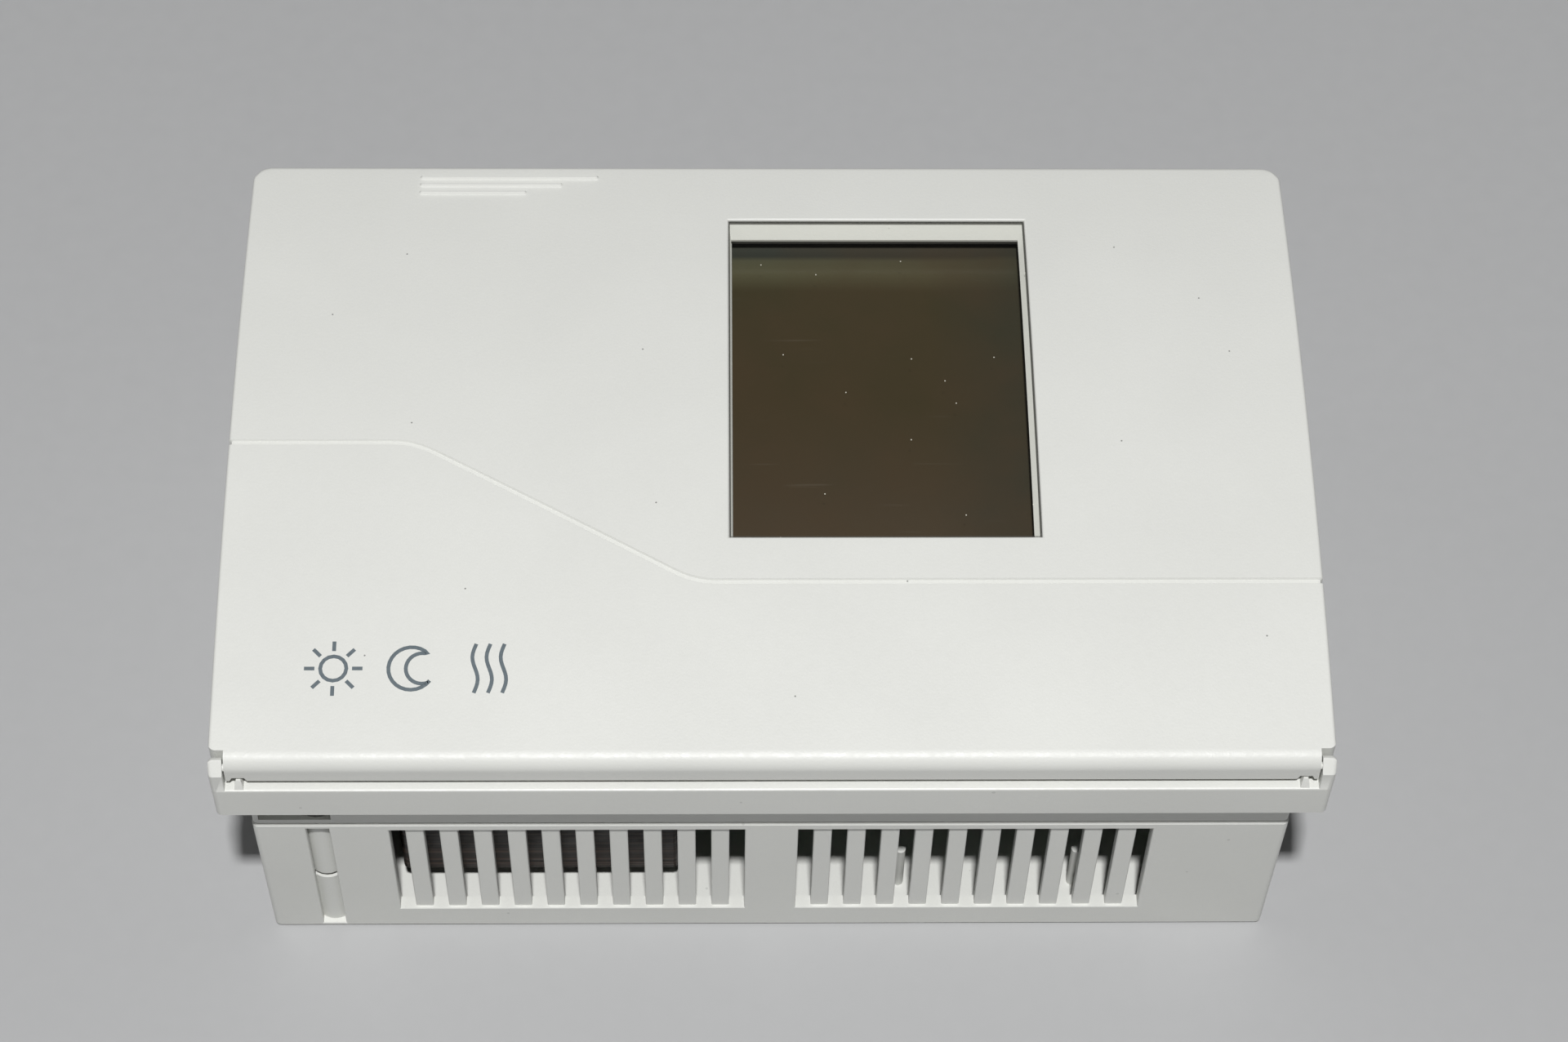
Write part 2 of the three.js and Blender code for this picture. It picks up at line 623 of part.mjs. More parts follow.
/** Board that fills the insert, with all four corners cut away. */
function board(z0) {
  const clearance = 0.3;
  const x = INSIDE_X - clearance;
  const y = INSIDE_Y - clearance;
  const notches = CORNERS.map(([sideX, sideY]) => (
    box(NOTCH_X, INSIDE_X + 1, NOTCH_Y, INSIDE_Y + 1, z0 - 1, z0 + BOARD_THICK + 1)
      .scale([sideX, sideY, 1])));
  return box(-x, x, -y, y, z0, z0 + BOARD_THICK).subtract(union(notches));
}

/** A part that hangs under a board down to z0. */
function hanging(centreX, centreY, width, height, z0, underside) {
  return prism(roundedRectangle(width, height, 0.6, centreX, centreY), z0, underside);
}

function transformer() {
  const body = hanging(-31.4, -24, 37.6, 32, 6.9, 27);
  const frame = hanging(-31.4, -24, 39, 33.4, 27, POWER_BACK);
  return body.add(frame);
}

function relay(y) {
  return hanging(20, y, 29, 12.6, 15.3, POWER_BACK);
}

function capacitor(y) {
  const can = new THREE.LatheGeometry([
    new THREE.Vector2(0, 0), new THREE.Vector2(4.4, 0), new THREE.Vector2(5, 0.6),
    new THREE.Vector2(5, 13.2), new THREE.Vector2(4.6, 13.6), new THREE.Vector2(5, 14),
    new THREE.Vector2(5, 16), new THREE.Vector2(0, 16),
  ], 20);
  return solid(can.rotateX(Math.PI / 2).translate(50, y, POWER_BACK - 16));
}

function microcontroller() {
  return hanging(-20, 5, 14, 14, LOGIC_BACK - 1.8, LOGIC_BACK);
}

function quartzCrystal() {
  return prism(roundedRectangle(11, 4.6, 2.2, -20, -8), LOGIC_BACK - 3.2, LOGIC_BACK);
}

function boardHeader() {
  return box(-15, 15, 27, 32, POWER_FRONT, LOGIC_BACK);
}

const CELL = { x: 44, y: 4, radius: 10 };

function cellHolder() {
  const { x, y, radius } = CELL;
  const frame = hanging(x, y, 23, 23, LOGIC_BACK - 3.7, LOGIC_BACK);
  return frame.subtract(post(x, y, radius + 0.2, LOGIC_BACK - 5, LOGIC_BACK - 0.4, fineArc));
}

function backupCell() {
  const { x, y, radius } = CELL;
  return post(x, y, radius, LOGIC_BACK - 3.6, LOGIC_BACK - 0.4, fineArc);
}

const TERMINALS = { x0: -55, x1: -5, ways: 10, top: 20.2 };

/** Row of socket contacts under the power board that plugs into the terminals. */
function plugConnector() {
  return box(TERMINALS.x0, TERMINALS.x1, 26, 35, TERMINALS.top + 0.2, POWER_BACK);
}

/** Spring terminal block on the floor of the base. */
function terminalBlock() {
  const { x0, x1, ways, top } = TERMINALS;
  const pitch = (x1 - x0) / ways;
  const first = x0 + pitch / 2;
  const body = box(x0, x1, 24, 39, BASE_WALL, top);
  const entries = Array.from({ length: ways }, (_, index) => (
    bore(first + index * pitch, 8, 1.6, 31, 40, 10)));
  const releases = Array.from({ length: ways }, (_, index) => {
    const x = first + index * pitch;
    return box(x - 1.2, x + 1.2, 36.8, 40, 14, 16.5);
  });
  return body.subtract(union([...entries, ...releases]));
}

// -------------------------------------------------------------- panel clamps

/** Screw turned from the front to work a clamp: slotted head and plain shank. */
function clampScrew() {
  const shank = post(CLAMP_X, CLAMP_Y, 1.45, 6, WEB_FRONT);
  const head = post(CLAMP_X, CLAMP_Y, 2.75, WEB_FRONT, DECK - 0.1, 20);
  const slot = box(CLAMP_X - 3, CLAMP_X + 3, CLAMP_Y - 0.4, CLAMP_Y + 0.4, DECK - 1, DECK + 1);
  return shank.add(head).subtract(slot);
}

/** Threaded bush in the foot of the clamp's sleeve. */
function clampNut() {
  const bush = post(CLAMP_X, CLAMP_Y, 2, 15, 21);
  return bush.subtract(post(CLAMP_X, CLAMP_Y, 1.55, 14, 22));
}

/** Sleeve round the screw with an arm at its top that swings out under the panel. */
function clampLever() {
  const { length, width, back, front } = CLAMP_ARM;
  const sleeve = post(CLAMP_X, CLAMP_Y, CLAMP_SLEEVE, CLAMP_POST_TOP + 1, front, fineArc);
  const arm = roundedRectangle(length, width, 0.6, CLAMP_X - length / 2, CLAMP_Y);
  const nutSeat = post(CLAMP_X, CLAMP_Y, 2.1, CLAMP_POST_TOP, 21.2);
  const screwWay = post(CLAMP_X, CLAMP_Y, 1.7, CLAMP_POST_TOP, front + 1);
  return sleeve.add(prism(arm, back, front)).subtract(nutSeat.add(screwWay));
}

/** Screw that holds the front unit to the base. */
function unitScrew() {
  const { x, y } = UNIT_SCREW;
  const shank = post(x, y, 1.5, 12, WEB_FRONT);
  const head = post(x, y, 3, WEB_FRONT, DECK - 0.1, 20);
  const slot = box(x - 4, x + 4, y - 0.4, y + 0.4, DECK - 1, DECK + 1);
  return shank.add(head).subtract(slot);
}

// ------------------------------------------------------------------ assembly

const finishes = {
  housingPlastic: { color: 0xdedfd9, roughness: 0.45, metalness: 0 },
  panelPlastic: { color: 0xd3d5d1, roughness: 0.55, metalness: 0 },
  clearPlastic: { color: 0xdfe6e4, roughness: 0.05, metalness: 0 },
  displayGlass: { color: 0x4a4433, roughness: 0.08, metalness: 0 },
  diffuser: { color: 0xf2f2ec, roughness: 0.6, metalness: 0 },
  keyPlastic: { color: 0x8b9296, roughness: 0.5, metalness: 0 },
  darkPlastic: { color: 0x24262a, roughness: 0.5, metalness: 0 },
  rubber: { color: 0x3a3d40, roughness: 0.9, metalness: 0 },
  board: { color: 0x2f6a3f, roughness: 0.4, metalness: 0 },
  relayPlastic: { color: 0x20242a, roughness: 0.35, metalness: 0 },
  steel: { color: 0xb9bcc0, roughness: 0.35, metalness: 1 },
  brass: { color: 0xc2a05a, roughness: 0.35, metalness: 1 },
  lampRed: { color: 0xb02a20, roughness: 0.2, metalness: 0 },
  terminalPlastic: { color: 0x5f7f6a, roughness: 0.5, metalness: 0 },
};

const group = new THREE.Group();
group.name = 'heating_controller';

/** Adds one named piece to the group. */
function place(name, piece, finish) {
  const { vertProperties, triVerts } = piece.getMesh();
  const geometry = new THREE.BufferGeometry();
  geometry.setAttribute('position', new THREE.BufferAttribute(vertProperties, 3));
  geometry.setIndex(new THREE.BufferAttribute(triVerts, 1));
  geometry.computeVertexNormals();
  const material = new THREE.MeshStandardMaterial(finishes[finish]);
  material.name = finish;
  const mesh = new THREE.Mesh(geometry, material);
  mesh.name = name;
  group.add(mesh);
}

place('base_housing', baseHousing(), 'housingPlastic');
place('front_bezel', frontBezel(), 'housingPlastic');
place('front_cover', frontCover(), 'housingPlastic');
place('window_pane', windowPane(), 'clearPlastic');
place('operating_panel', operatingPanel(), 'panelPlastic');

place('display_glass', displayGlass(), 'displayGlass');
place('light_guide', lightGuide(), 'diffuser');
place('contact_strip_lower', contactStrip(WINDOW.y0), 'rubber');
place('contact_strip_upper', contactStrip(WINDOW.y1), 'rubber');

MODE_KEYS.forEach((key) => place(key.name, pushKey(MODE_KEY)(key), 'keyPlastic'));
VALUE_KEYS.forEach((key) => place(key.name, pushKey(VALUE_KEY)(key), 'keyPlastic'));
place('keypad_mat', keypadMat(), 'rubber');
place('setpoint_knob', setpointKnob(), 'keyPlastic');
place('potentiometer', potentiometer(), 'darkPlastic');
place('potentiometer_shaft', potentiometerShaft(), 'steel');
place('slide_switch', slideSwitchBody(), 'darkPlastic');
place('slide_switch_knob', slideSwitchKnob(), 'keyPlastic');
LAMPS_Y.forEach((y, index) => place(`signal_lamp_${index + 1}`, signalLamp(y), 'lampRed'));

place('logic_board', board(LOGIC_BACK), 'board');
place('microcontroller', microcontroller(), 'darkPlastic');
place('quartz_crystal', quartzCrystal(), 'steel');
place('cell_holder', cellHolder(), 'darkPlastic');
place('backup_cell', backupCell(), 'steel');
place('board_header', boardHeader(), 'darkPlastic');

place('power_board', board(POWER_BACK), 'board');
place('transformer', transformer(), 'relayPlastic');
[-14, 0, 14].forEach((y, index) => place(`relay_${index + 1}`, relay(y), 'relayPlastic'));
[-22, -9].forEach((y, index) => place(`capacitor_${index + 1}`, capacitor(y), 'darkPlastic'));
place('plug_connector_left', plugConnector(), 'darkPlastic');
place('plug_connector_right', mirrored(plugConnector()), 'darkPlastic');
place('terminal_block_left', terminalBlock(), 'terminalPlastic');
place('terminal_block_right', mirrored(terminalBlock()), 'terminalPlastic');

place('clamp_screw_lower', clampScrew(), 'steel');
place('clamp_nut_lower', clampNut(), 'brass');
place('clamp_lever_lower', clampLever(), 'housingPlastic');
place('clamp_screw_upper', halfTurn(clampScrew()), 'steel');
place('clamp_nut_upper', halfTurn(clampNut()), 'brass');
place('clamp_lever_upper', halfTurn(clampLever()), 'housingPlastic');
place('unit_screw_lower', unitScrew(), 'steel');
place('unit_screw_upper', halfTurn(unitScrew()), 'steel');

export default group;
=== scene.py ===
import math

import bmesh
import bpy
from mathutils import Matrix, Vector


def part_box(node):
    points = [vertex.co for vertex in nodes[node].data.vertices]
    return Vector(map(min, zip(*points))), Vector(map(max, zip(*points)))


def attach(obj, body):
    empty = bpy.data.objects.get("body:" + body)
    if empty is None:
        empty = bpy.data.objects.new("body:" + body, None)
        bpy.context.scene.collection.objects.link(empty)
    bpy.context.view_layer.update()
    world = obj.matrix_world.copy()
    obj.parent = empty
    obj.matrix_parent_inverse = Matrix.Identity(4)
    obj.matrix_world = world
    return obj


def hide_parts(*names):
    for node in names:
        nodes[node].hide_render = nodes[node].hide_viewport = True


# Panel-mounted heating controller, in metres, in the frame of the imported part:
# +X to the right along the face, +Y up the face, +Z out of the face.
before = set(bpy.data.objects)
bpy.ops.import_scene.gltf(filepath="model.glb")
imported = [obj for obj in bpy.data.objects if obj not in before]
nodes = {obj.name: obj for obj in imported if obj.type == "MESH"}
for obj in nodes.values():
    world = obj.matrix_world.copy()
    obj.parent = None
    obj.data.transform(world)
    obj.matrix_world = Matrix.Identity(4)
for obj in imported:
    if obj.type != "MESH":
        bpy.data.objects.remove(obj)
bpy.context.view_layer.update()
MM = 0.001

# ------------------------------------------------------------------ dimensions

# Cover: one large arc across the face, with a different rounding on each side.
COVER_LOW, COVER_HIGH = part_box("front_cover")
HALF_WIDTH = COVER_HIGH.x
NEAR_EDGE = -47.1 * MM
FAR_EDGE = COVER_HIGH.y
CROWN_Y = 12 * MM
CROWN_RADIUS = 333 * MM
CROWN_CENTRE_Z = COVER_HIGH.z - CROWN_RADIUS
NEAR_FILLET = 2.2 * MM
FAR_FILLET = 1.0 * MM
SIDE_FILLET = 0.45 * MM
CORNER_RADIUS = 2.8 * MM
CORNER_X = HALF_WIDTH - CORNER_RADIUS
CORNER_Y = FAR_EDGE - CORNER_RADIUS
COVER_WALL = 2.0 * MM
SIDE_WALL = 1.8 * MM
SIDE_BOTTOM = COVER_LOW.z
NEAR_BOTTOM = SIDE_BOTTOM + 0.5 * MM
RIM_CHAMFER = 0.15 * MM
FILLET_STEPS = 7

# Window: the pane sits a little below the crown, on a narrow frame that slopes down inwards.
PANE_LOW, PANE_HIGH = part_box("window_pane")
PANE_GAP = 0.05 * MM
PANE_SINK = 0.25 * MM
PANE_THICK = 0.6 * MM
LEDGE_DEPTH = 0.9 * MM
WINDOW_FILLET = 0.3 * MM
WINDOW_STEPS = 4
UNDER_EDGE = 0.5 * MM
# Width of the dark line painted round the pane as the shadow in its gap.
GAP_SHADE_WIDTH = 0.16 * MM
FRAME_TOP = 1.4 * MM
FRAME_BACK = 1.75 * MM
FRAME_LEFT = 0.4 * MM
FRAME_RIGHT = 0.9 * MM
FRAME_NEAR = 0.4 * MM
FRAME_FAR = 2.6 * MM
WINDOW = (PANE_LOW.x - PANE_GAP, PANE_HIGH.x + PANE_GAP,
          PANE_LOW.y - PANE_GAP, PANE_HIGH.y + PANE_GAP)
WINDOW_RIM = tuple(edge + side * WINDOW_FILLET for edge, side in zip(WINDOW, (-1, 1, -1, 1)))

# Groove across the cover: level, down a slope, level again.
GROOVE_UPPER = Vector((-47.5 * MM, -0.7 * MM))
GROOVE_LOWER = Vector((-10.2 * MM, -21.7 * MM))
GROOVE_BEND = 2.8 * MM
GROOVE_DEPTH = 0.3 * MM
GROOVE_HALF = 0.42 * MM
GROOVE_EASE = 0.17 * MM
GROOVE_ROWS = [step * MM for step in (-0.6, -0.42, -0.36, -0.25, 0, 0.25, 0.36, 0.42, 0.6)]

# Finger ribs near the opening edge: (y, length), all starting at RIB_LEFT.
RIBS = ((45.1 * MM, 25 * MM), (43.7 * MM, 20 * MM), (42.25 * MM, 15 * MM))
RIB_LEFT = -48.7 * MM
RIB_HALF = 0.4 * MM
RIB_EASE = 0.65 * RIB_HALF
RIB_RISE = 0.35 * MM

# Printed signs: half thickness, line widths, sizes and places.
PRINT_RISE = 0.012 * MM
COVER_LINE = 0.5 * MM
KEY_LINE = 0.32 * MM
PANEL_LINE = 0.3 * MM
SCALE_LINE = 0.28 * MM
COVER_SIGN = 7 * MM
COVER_SIGN_X = (-56.5 * MM, -46.5 * MM, -36.5 * MM)
COVER_SIGN_Y = -34 * MM
KEY_SIGN = 3.4 * MM
LAMP_SIGN = 3.6 * MM
PANEL_TOP = 44.6 * MM

# Scale round the setpoint knob, with angles in degrees; a sign has its offset and its size.
SCALE_MARKS = 29
SCALE_START = 230
SCALE_STEP = 10
SCALE_RADIUS = 14.2 * MM
LONG_MARK = 1.7 * MM
SHORT_MARK = 0.9 * MM
SCALE_SIGNS = (
    ("heat", 0, 19.4 * MM, 4.2 * MM),
    ("minus", -12.5 * MM, -13.5 * MM, 3 * MM),
    ("plus", 12.5 * MM, -13.5 * MM, 3 * MM),
)

# Setpoint knob.
KNOB_BORE = 3.05 * MM
KNOB_SIDES = 192
FLUTES = 24
FLUTE_DEPTH = 0.42 * MM
POINTER_RISE = 0.5 * MM
POINTER_SUNK = 0.3 * MM
POINTER_SOFT = 0.12 * MM
POINTER_HALF = (0.6 * MM, 3.9 * MM)
POINTER_INSET = 7.3 * MM

# Hinge of the cover: pins on the cover turn in two ears of the bezel.
DECK = 43 * MM
HINGE_Y = -46.5 * MM
HINGE_Z = 46.6 * MM
HINGE_X = 70 * MM
PIN_RADIUS = 0.5 * MM
PIN_ROOT = HINGE_X - 0.5 * MM
PIN_END = HINGE_X + 1.3 * MM
PIN_HOLE = 0.62 * MM
EAR_INNER = 70.2 * MM
PIN_HOLE_ENDS = (EAR_INNER - MM, EAR_INNER + 1.4 * MM)
EAR_FOOT = DECK - 1.5 * MM
EAR_NEAR = -47.9 * MM
EAR_NEAR_TOP = DECK + 3.5 * MM
EAR_FAR = -45.4 * MM
EAR_FAR_TOP = DECK + 4.95 * MM
EAR_CHAMFER = 0.8 * MM
EAR_SIDE_RADIUS = 0.6 * MM
EAR_CUT = -45.05 * MM
EAR_CORNER = 1.0 * MM

# Stops on the bezel's lip beside the ears, and the notches over them in the cover.
STOP_X = (67.8 * MM, 69 * MM)
STOP_Y = (-47.75 * MM, -46.55 * MM)
NOTCH_X = (67.6 * MM, 69.2 * MM)
NOTCH_FAR = -46.2 * MM
NOTCH_TOP = SIDE_BOTTOM + 1.4 * MM

# Bezel: a flange on the panel, an insert behind it, all of one moulding.
BEZEL_LOW, BEZEL_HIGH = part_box("front_bezel")
FLANGE_BACK = 36.5 * MM
FLANGE_SOFT = 0.35 * MM
FLANGE_BACK_SOFT = 0.25 * MM
INSERT = (68.3 * MM, 45.3 * MM)
INSERT_SOFT = 0.2 * MM
INSIDE = (66.7 * MM, 43.7 * MM)
INSIDE_CORNER = 0.2 * MM
CORNER = 0.8 * MM

# Corner webs and tabs inside the bezel, each sunk a little into its wall.
WEB = (55 * MM, 37.5 * MM, 39 * MM, 41 * MM)
TAB_X = (27 * MM, 33 * MM)
TAB_Z = (32.6 * MM, 38.5 * MM)
TAB_REACH = 2.5 * MM
SUNK = 0.5 * MM

# Rear tub.
BASE_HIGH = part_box("base_housing")[1]
BASE_WALL = 2 * MM
BASE_DRAFT = 0.2 * MM
BASE_SOFT = 0.5 * MM
BASE_RIM_SOFT = 0.2 * MM
BASE_INNER_CORNER = 0.3 * MM
BASE_RIM_CORNER = 0.35 * MM
BASE_INNER_SOFT = 0.15 * MM
VENT_COUNT = 11
VENT_PITCH = 4.495 * MM
VENT_WIDTH = 2.1 * MM
VENT_START = 3.5 * MM
VENT_HEIGHTS = (5.2 * MM, 27.8 * MM)
VENT_POCKET = 0.45 * MM
CUT_SOFT = 0.12 * MM
CABLE_ENTRY = (28 * MM, 6 * MM, 2 * MM)
CABLE_ENTRY_Y = 12 * MM
WALL_HOLE = (60 * MM, 2.3 * MM)
PIN_POSTS = ((17.9 * MM, -39.6 * MM), (42 * MM, -39.6 * MM))
PIN_POST_RADIUS = 0.7 * MM
PIN_POST_TOP = 11.5 * MM

# Panel clamps near two opposite corners.
CLAMP = Vector((-59.9 * MM, -42 * MM))
CLAMP_SLOT = (CLAMP.x - 1.55 * MM, CLAMP.x + 1.55 * MM)
CLAMP_SLOT_HEIGHTS = (0.9 * MM, 28.3 * MM)
CLAMP_SLOT_DEPTH = 3.3 * MM
CLAMP_RELIEF = 2.9 * MM
CLAMP_POST = 2.6 * MM
POST_TOP = 13 * MM
CLAMP_BORE = 1.7 * MM
CLAMP_BORE_BACK = 5 * MM
CLAMP_HEAD = 3.1 * MM
CLAMP_SHANK = 1.8 * MM
LEVER_WAY_X = (57.9 * MM, 67.4 * MM)
LEVER_WAY_Z = (30.5 * MM, FLANGE_BACK - 0.2 * MM)

# Screws that join front and rear, near the other two corners.
UNIT_SCREW = Vector((59.9 * MM, -39.5 * MM))
UNIT_WAY = 1.9 * MM
UNIT_POST = 3.4 * MM
UNIT_POST_TOP = 27 * MM
UNIT_BORE = 1.6 * MM
UNIT_BORE_BACK = 10 * MM

# Rounding of the edges of carried-over nodes, and the angles at which an edge looks sharp.
NODE_ROUNDING = 0.15 * MM
SHARP_ANGLE = 35
MOULDING_SHARP_ANGLE = 32

# Rows of the cover's grid that stay straight above and below the groove.
STRAIGHT_NEAR = -40 * MM
STRAIGHT_FAR = 40.5 * MM
GRID_STEP = 4 * MM
CLOSEST_COLUMNS = 0.05 * MM
TOUCHING = 1e-7


# -------------------------------------------------------------- node materials

def empty_material(name):
    """Node material with only an output; returns material, tree, output."""
    material = bpy.data.materials.new(name)
    material.use_nodes = True
    tree = material.node_tree
    tree.nodes.clear()
    return material, tree, tree.nodes.new("ShaderNodeOutputMaterial")


def new_material(name):
    """Material with a Principled shader; returns material, tree, shader, coordinates."""
    material, tree, output = empty_material(name)
    shader = tree.nodes.new("ShaderNodeBsdfPrincipled")
    tree.links.new(shader.outputs["BSDF"], output.inputs["Surface"])
    return material, tree, shader, place_coordinates(tree)


def feed(tree, socket, value):
    """Links a socket to another, or sets its value."""
    if isinstance(value, bpy.types.NodeSocket):
        tree.links.new(value, socket)
    else:
        socket.default_value = value


def make_node(tree, kind, **inputs):
    """Shader node with its inputs fed; a space in an input's name is written as _."""
    node = tree.nodes.new("ShaderNode" + kind)
    for name, value in inputs.items():
        feed(tree, node.inputs[name.replace("_", " ")], value)
    return node


def place_coordinates(tree):
    """Coordinates fixed to the piece, in metres."""
    return make_node(tree, "TexCoord").outputs["Object"]


def stretched(tree, vector, scale):
    """Coordinates scaled by a different amount along each axis."""
    return make_node(tree, "Mapping", Vector=vector, Scale=scale).outputs["Vector"]


def noise(tree, vector, scale, detail=2.0, roughness=0.5):
    return make_node(tree, "TexNoise", Vector=vector, Scale=scale, Detail=detail,
                     Roughness=roughness).outputs["Fac"]


def cells(tree, vector, scale, flat=False):
    """Distance from the middle of the nearest of many scattered cells."""
    node = make_node(tree, "TexVoronoi", Vector=vector, Scale=scale)
    node.voronoi_dimensions = "2D" if flat else "3D"
    return node.outputs["Distance"]


def calculate(tree, operation, first, second):
    node = tree.nodes.new("ShaderNodeMath")
    node.operation = operation
    feed(tree, node.inputs[0], first)
    feed(tree, node.inputs[1], second)
    return node.outputs["Value"]


def remap(tree, value, low, high, new_low, new_high):
    """Value moved from the range low..high to new_low..new_high, and held there."""
    return make_node(tree, "MapRange", Value=value, From_Min=low, From_Max=high,
                     To_Min=new_low, To_Max=new_high).outputs["Result"]


def spread(tree, uneven, low, high):
    """Noise, which lies mostly between 0.3 and 0.7, spread over low..high."""
    return remap(tree, uneven, 0.3, 0.7, low, high)


def blend_colours(tree, factor, first, second):
    node = tree.nodes.new("ShaderNodeMix")
    node.data_type = "RGBA"
    feed(tree, node.inputs["Factor"], factor)
    for side, colour in (("A", first), ("B", second)):
        plain = not isinstance(colour, bpy.types.NodeSocket)
        feed(tree, node.inputs[side], (*colour, 1) if plain else colour)
    return node.outputs["Result"]


def mix_shaders(tree, share, first, second):
    node = make_node(tree, "MixShader", Fac=share)
    tree.links.new(first.outputs[0], node.inputs[1])
    tree.links.new(second.outputs[0], node.inputs[2])
    return node


def axis_value(tree, vector, axis):
    return make_node(tree, "SeparateXYZ", Vector=vector).outputs[axis]


def relief(tree, shader, height, distance, strength):
    """Bumps the shader's surface by height times distance, in metres."""
    node = make_node(tree, "Bump", Strength=strength, Distance=distance, Height=height)
    tree.links.new(node.outputs["Normal"], shader.inputs["Normal"])


def coat(tree, shader, colour, uneven, rough):
    """Base colour, and a roughness that wanders between two values as uneven does."""
    feed(tree, shader.inputs["Base Color"], colour)
    feed(tree, shader.inputs["Roughness"], spread(tree, uneven, *rough))


def shaded(colour, amount):
    return tuple(channel * amount for channel in colour)


def moulded_plastic(name, colour, rough, dusty=False):
    """Injection-moulded plastic: eroded grain, faint mottling, and flecks or settled dust."""
    material, tree, shader, where = new_material(name)
    mottling = spread(tree, noise(tree, where, 45, 3), 0.0, 1.0)
    body = blend_colours(tree, mottling, shaded(colour, 0.965), colour)
    fine = spread(tree, noise(tree, where, 5200, 1), 0.0, 0.05)
    body = blend_colours(tree, fine, body, shaded(colour, 0.7))
    if dusty:
        normal = make_node(tree, "NewGeometry").outputs["Normal"]
        flat_up = calculate(tree, "GREATER_THAN", axis_value(tree, normal, "Z"), 0.8)
        speck = calculate(tree, "LESS_THAN", cells(tree, where, 34, flat=True), 0.004)
        speck = calculate(tree, "MULTIPLY", speck, flat_up)
        body = blend_colours(tree, speck, body, shaded(colour, 0.35))
    else:
        speck = calculate(tree, "LESS_THAN", cells(tree, where, 170), 0.045)
        body = blend_colours(tree, speck, body, shaded(colour, 0.8))
    coat(tree, shader, body, noise(tree, where, 900, 2), rough)
    shader.inputs["IOR"].default_value = 1.5
    relief(tree, shader, noise(tree, where, 3000, 2, 0.6), 0.072 * MM, 0.35)
    return material


def edge_distance(tree, where, node_name):
    """Distance in plan from the nearest edge of a rectangular CAD node."""
    low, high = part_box(node_name)
    distances = []
    for axis, start, end in (("X", low.x, high.x), ("Y", low.y, high.y)):
        place = axis_value(tree, where, axis)
        distances.append(calculate(tree, "SUBTRACT", place, start))
        distances.append(calculate(tree, "SUBTRACT", end, place))
    nearest = distances[0]
    for distance in distances[1:]:
        nearest = calculate(tree, "MINIMUM", nearest, distance)
    return nearest


def clear_pane():
    """Thin clear acrylic: mirrors a little, carries fine dust, and has a dark line painted round
    its edge as the shadow in its gap.
    """
    material, tree, output = empty_material("clear_pane")
    where = place_coordinates(tree)
    backfacing = make_node(tree, "NewGeometry").outputs["Backfacing"]
    outside = calculate(tree, "SUBTRACT", 1.0, backfacing)
    through = make_node(tree, "BsdfTransparent", Color=(0.985, 0.985, 0.975, 1))
    smear = spread(tree, noise(tree, where, 60, 3), 0.03, 0.10)
    mirror = make_node(tree, "BsdfGlossy", Color=(1, 1, 1, 1), Roughness=smear)
    edge_on = make_node(tree, "Fresnel", IOR=1.49).outputs["Fac"]
    clear = mix_shaders(tree, calculate(tree, "MULTIPLY", edge_on, outside), through, mirror)
    speck = calculate(tree, "LESS_THAN", cells(tree, where, 85, flat=True), 0.007)
    scratched = noise(tree, stretched(tree, where, (90, 1600, 90)), 1.0, 1)
    scratch = remap(tree, scratched, 0.72, 0.86, 0.0, 0.02)
    spoiled = calculate(tree, "MAXIMUM", calculate(tree, "MULTIPLY", speck, 0.9), scratch)
    dust = make_node(tree, "BsdfDiffuse", Color=(0.8, 0.78, 0.68, 1))
    dusty = mix_shaders(tree, calculate(tree, "MULTIPLY", spoiled, outside), clear, dust)
    inset = edge_distance(tree, where, "window_pane")
    # Painted shade: a dark line round the pane's edge stands in for the shadow in the gap beside
    # it.
    in_gap_shade = calculate(tree, "LESS_THAN", inset, GAP_SHADE_WIDTH)
    painted_gap_shade = make_node(tree, "BsdfDiffuse", Color=(0.09, 0.09, 0.08, 1))
    with_gap_shade = mix_shaders(tree, calculate(tree, "MULTIPLY", in_gap_shade, 0.6), dusty, painted_gap_shade)
    tree.links.new(with_gap_shade.outputs["Shader"], output.inputs["Surface"])
    return material


# Colours of the switched-off display from its near edge (0) to its far edge (1); the lighter olive
# band near the far edge is a painted soft reflection.
DISPLAY_COLOURS_AND_REFLECTION = (
    (0.00, (0.078, 0.059, 0.039)),
    (0.20, (0.066, 0.050, 0.031)),
    (0.48, (0.055, 0.043, 0.022)),
    (0.83, (0.055, 0.045, 0.023)),
    # Painted reflection: lighter olive band near the far edge.
    (0.885, (0.094, 0.088, 0.050)),
    (0.925, (0.088, 0.086, 0.054)),
    (0.940, (0.040, 0.043, 0.036)),
    (0.970, (0.052, 0.055, 0.046)),
    (0.985, (0.030, 0.032, 0.028)),
)


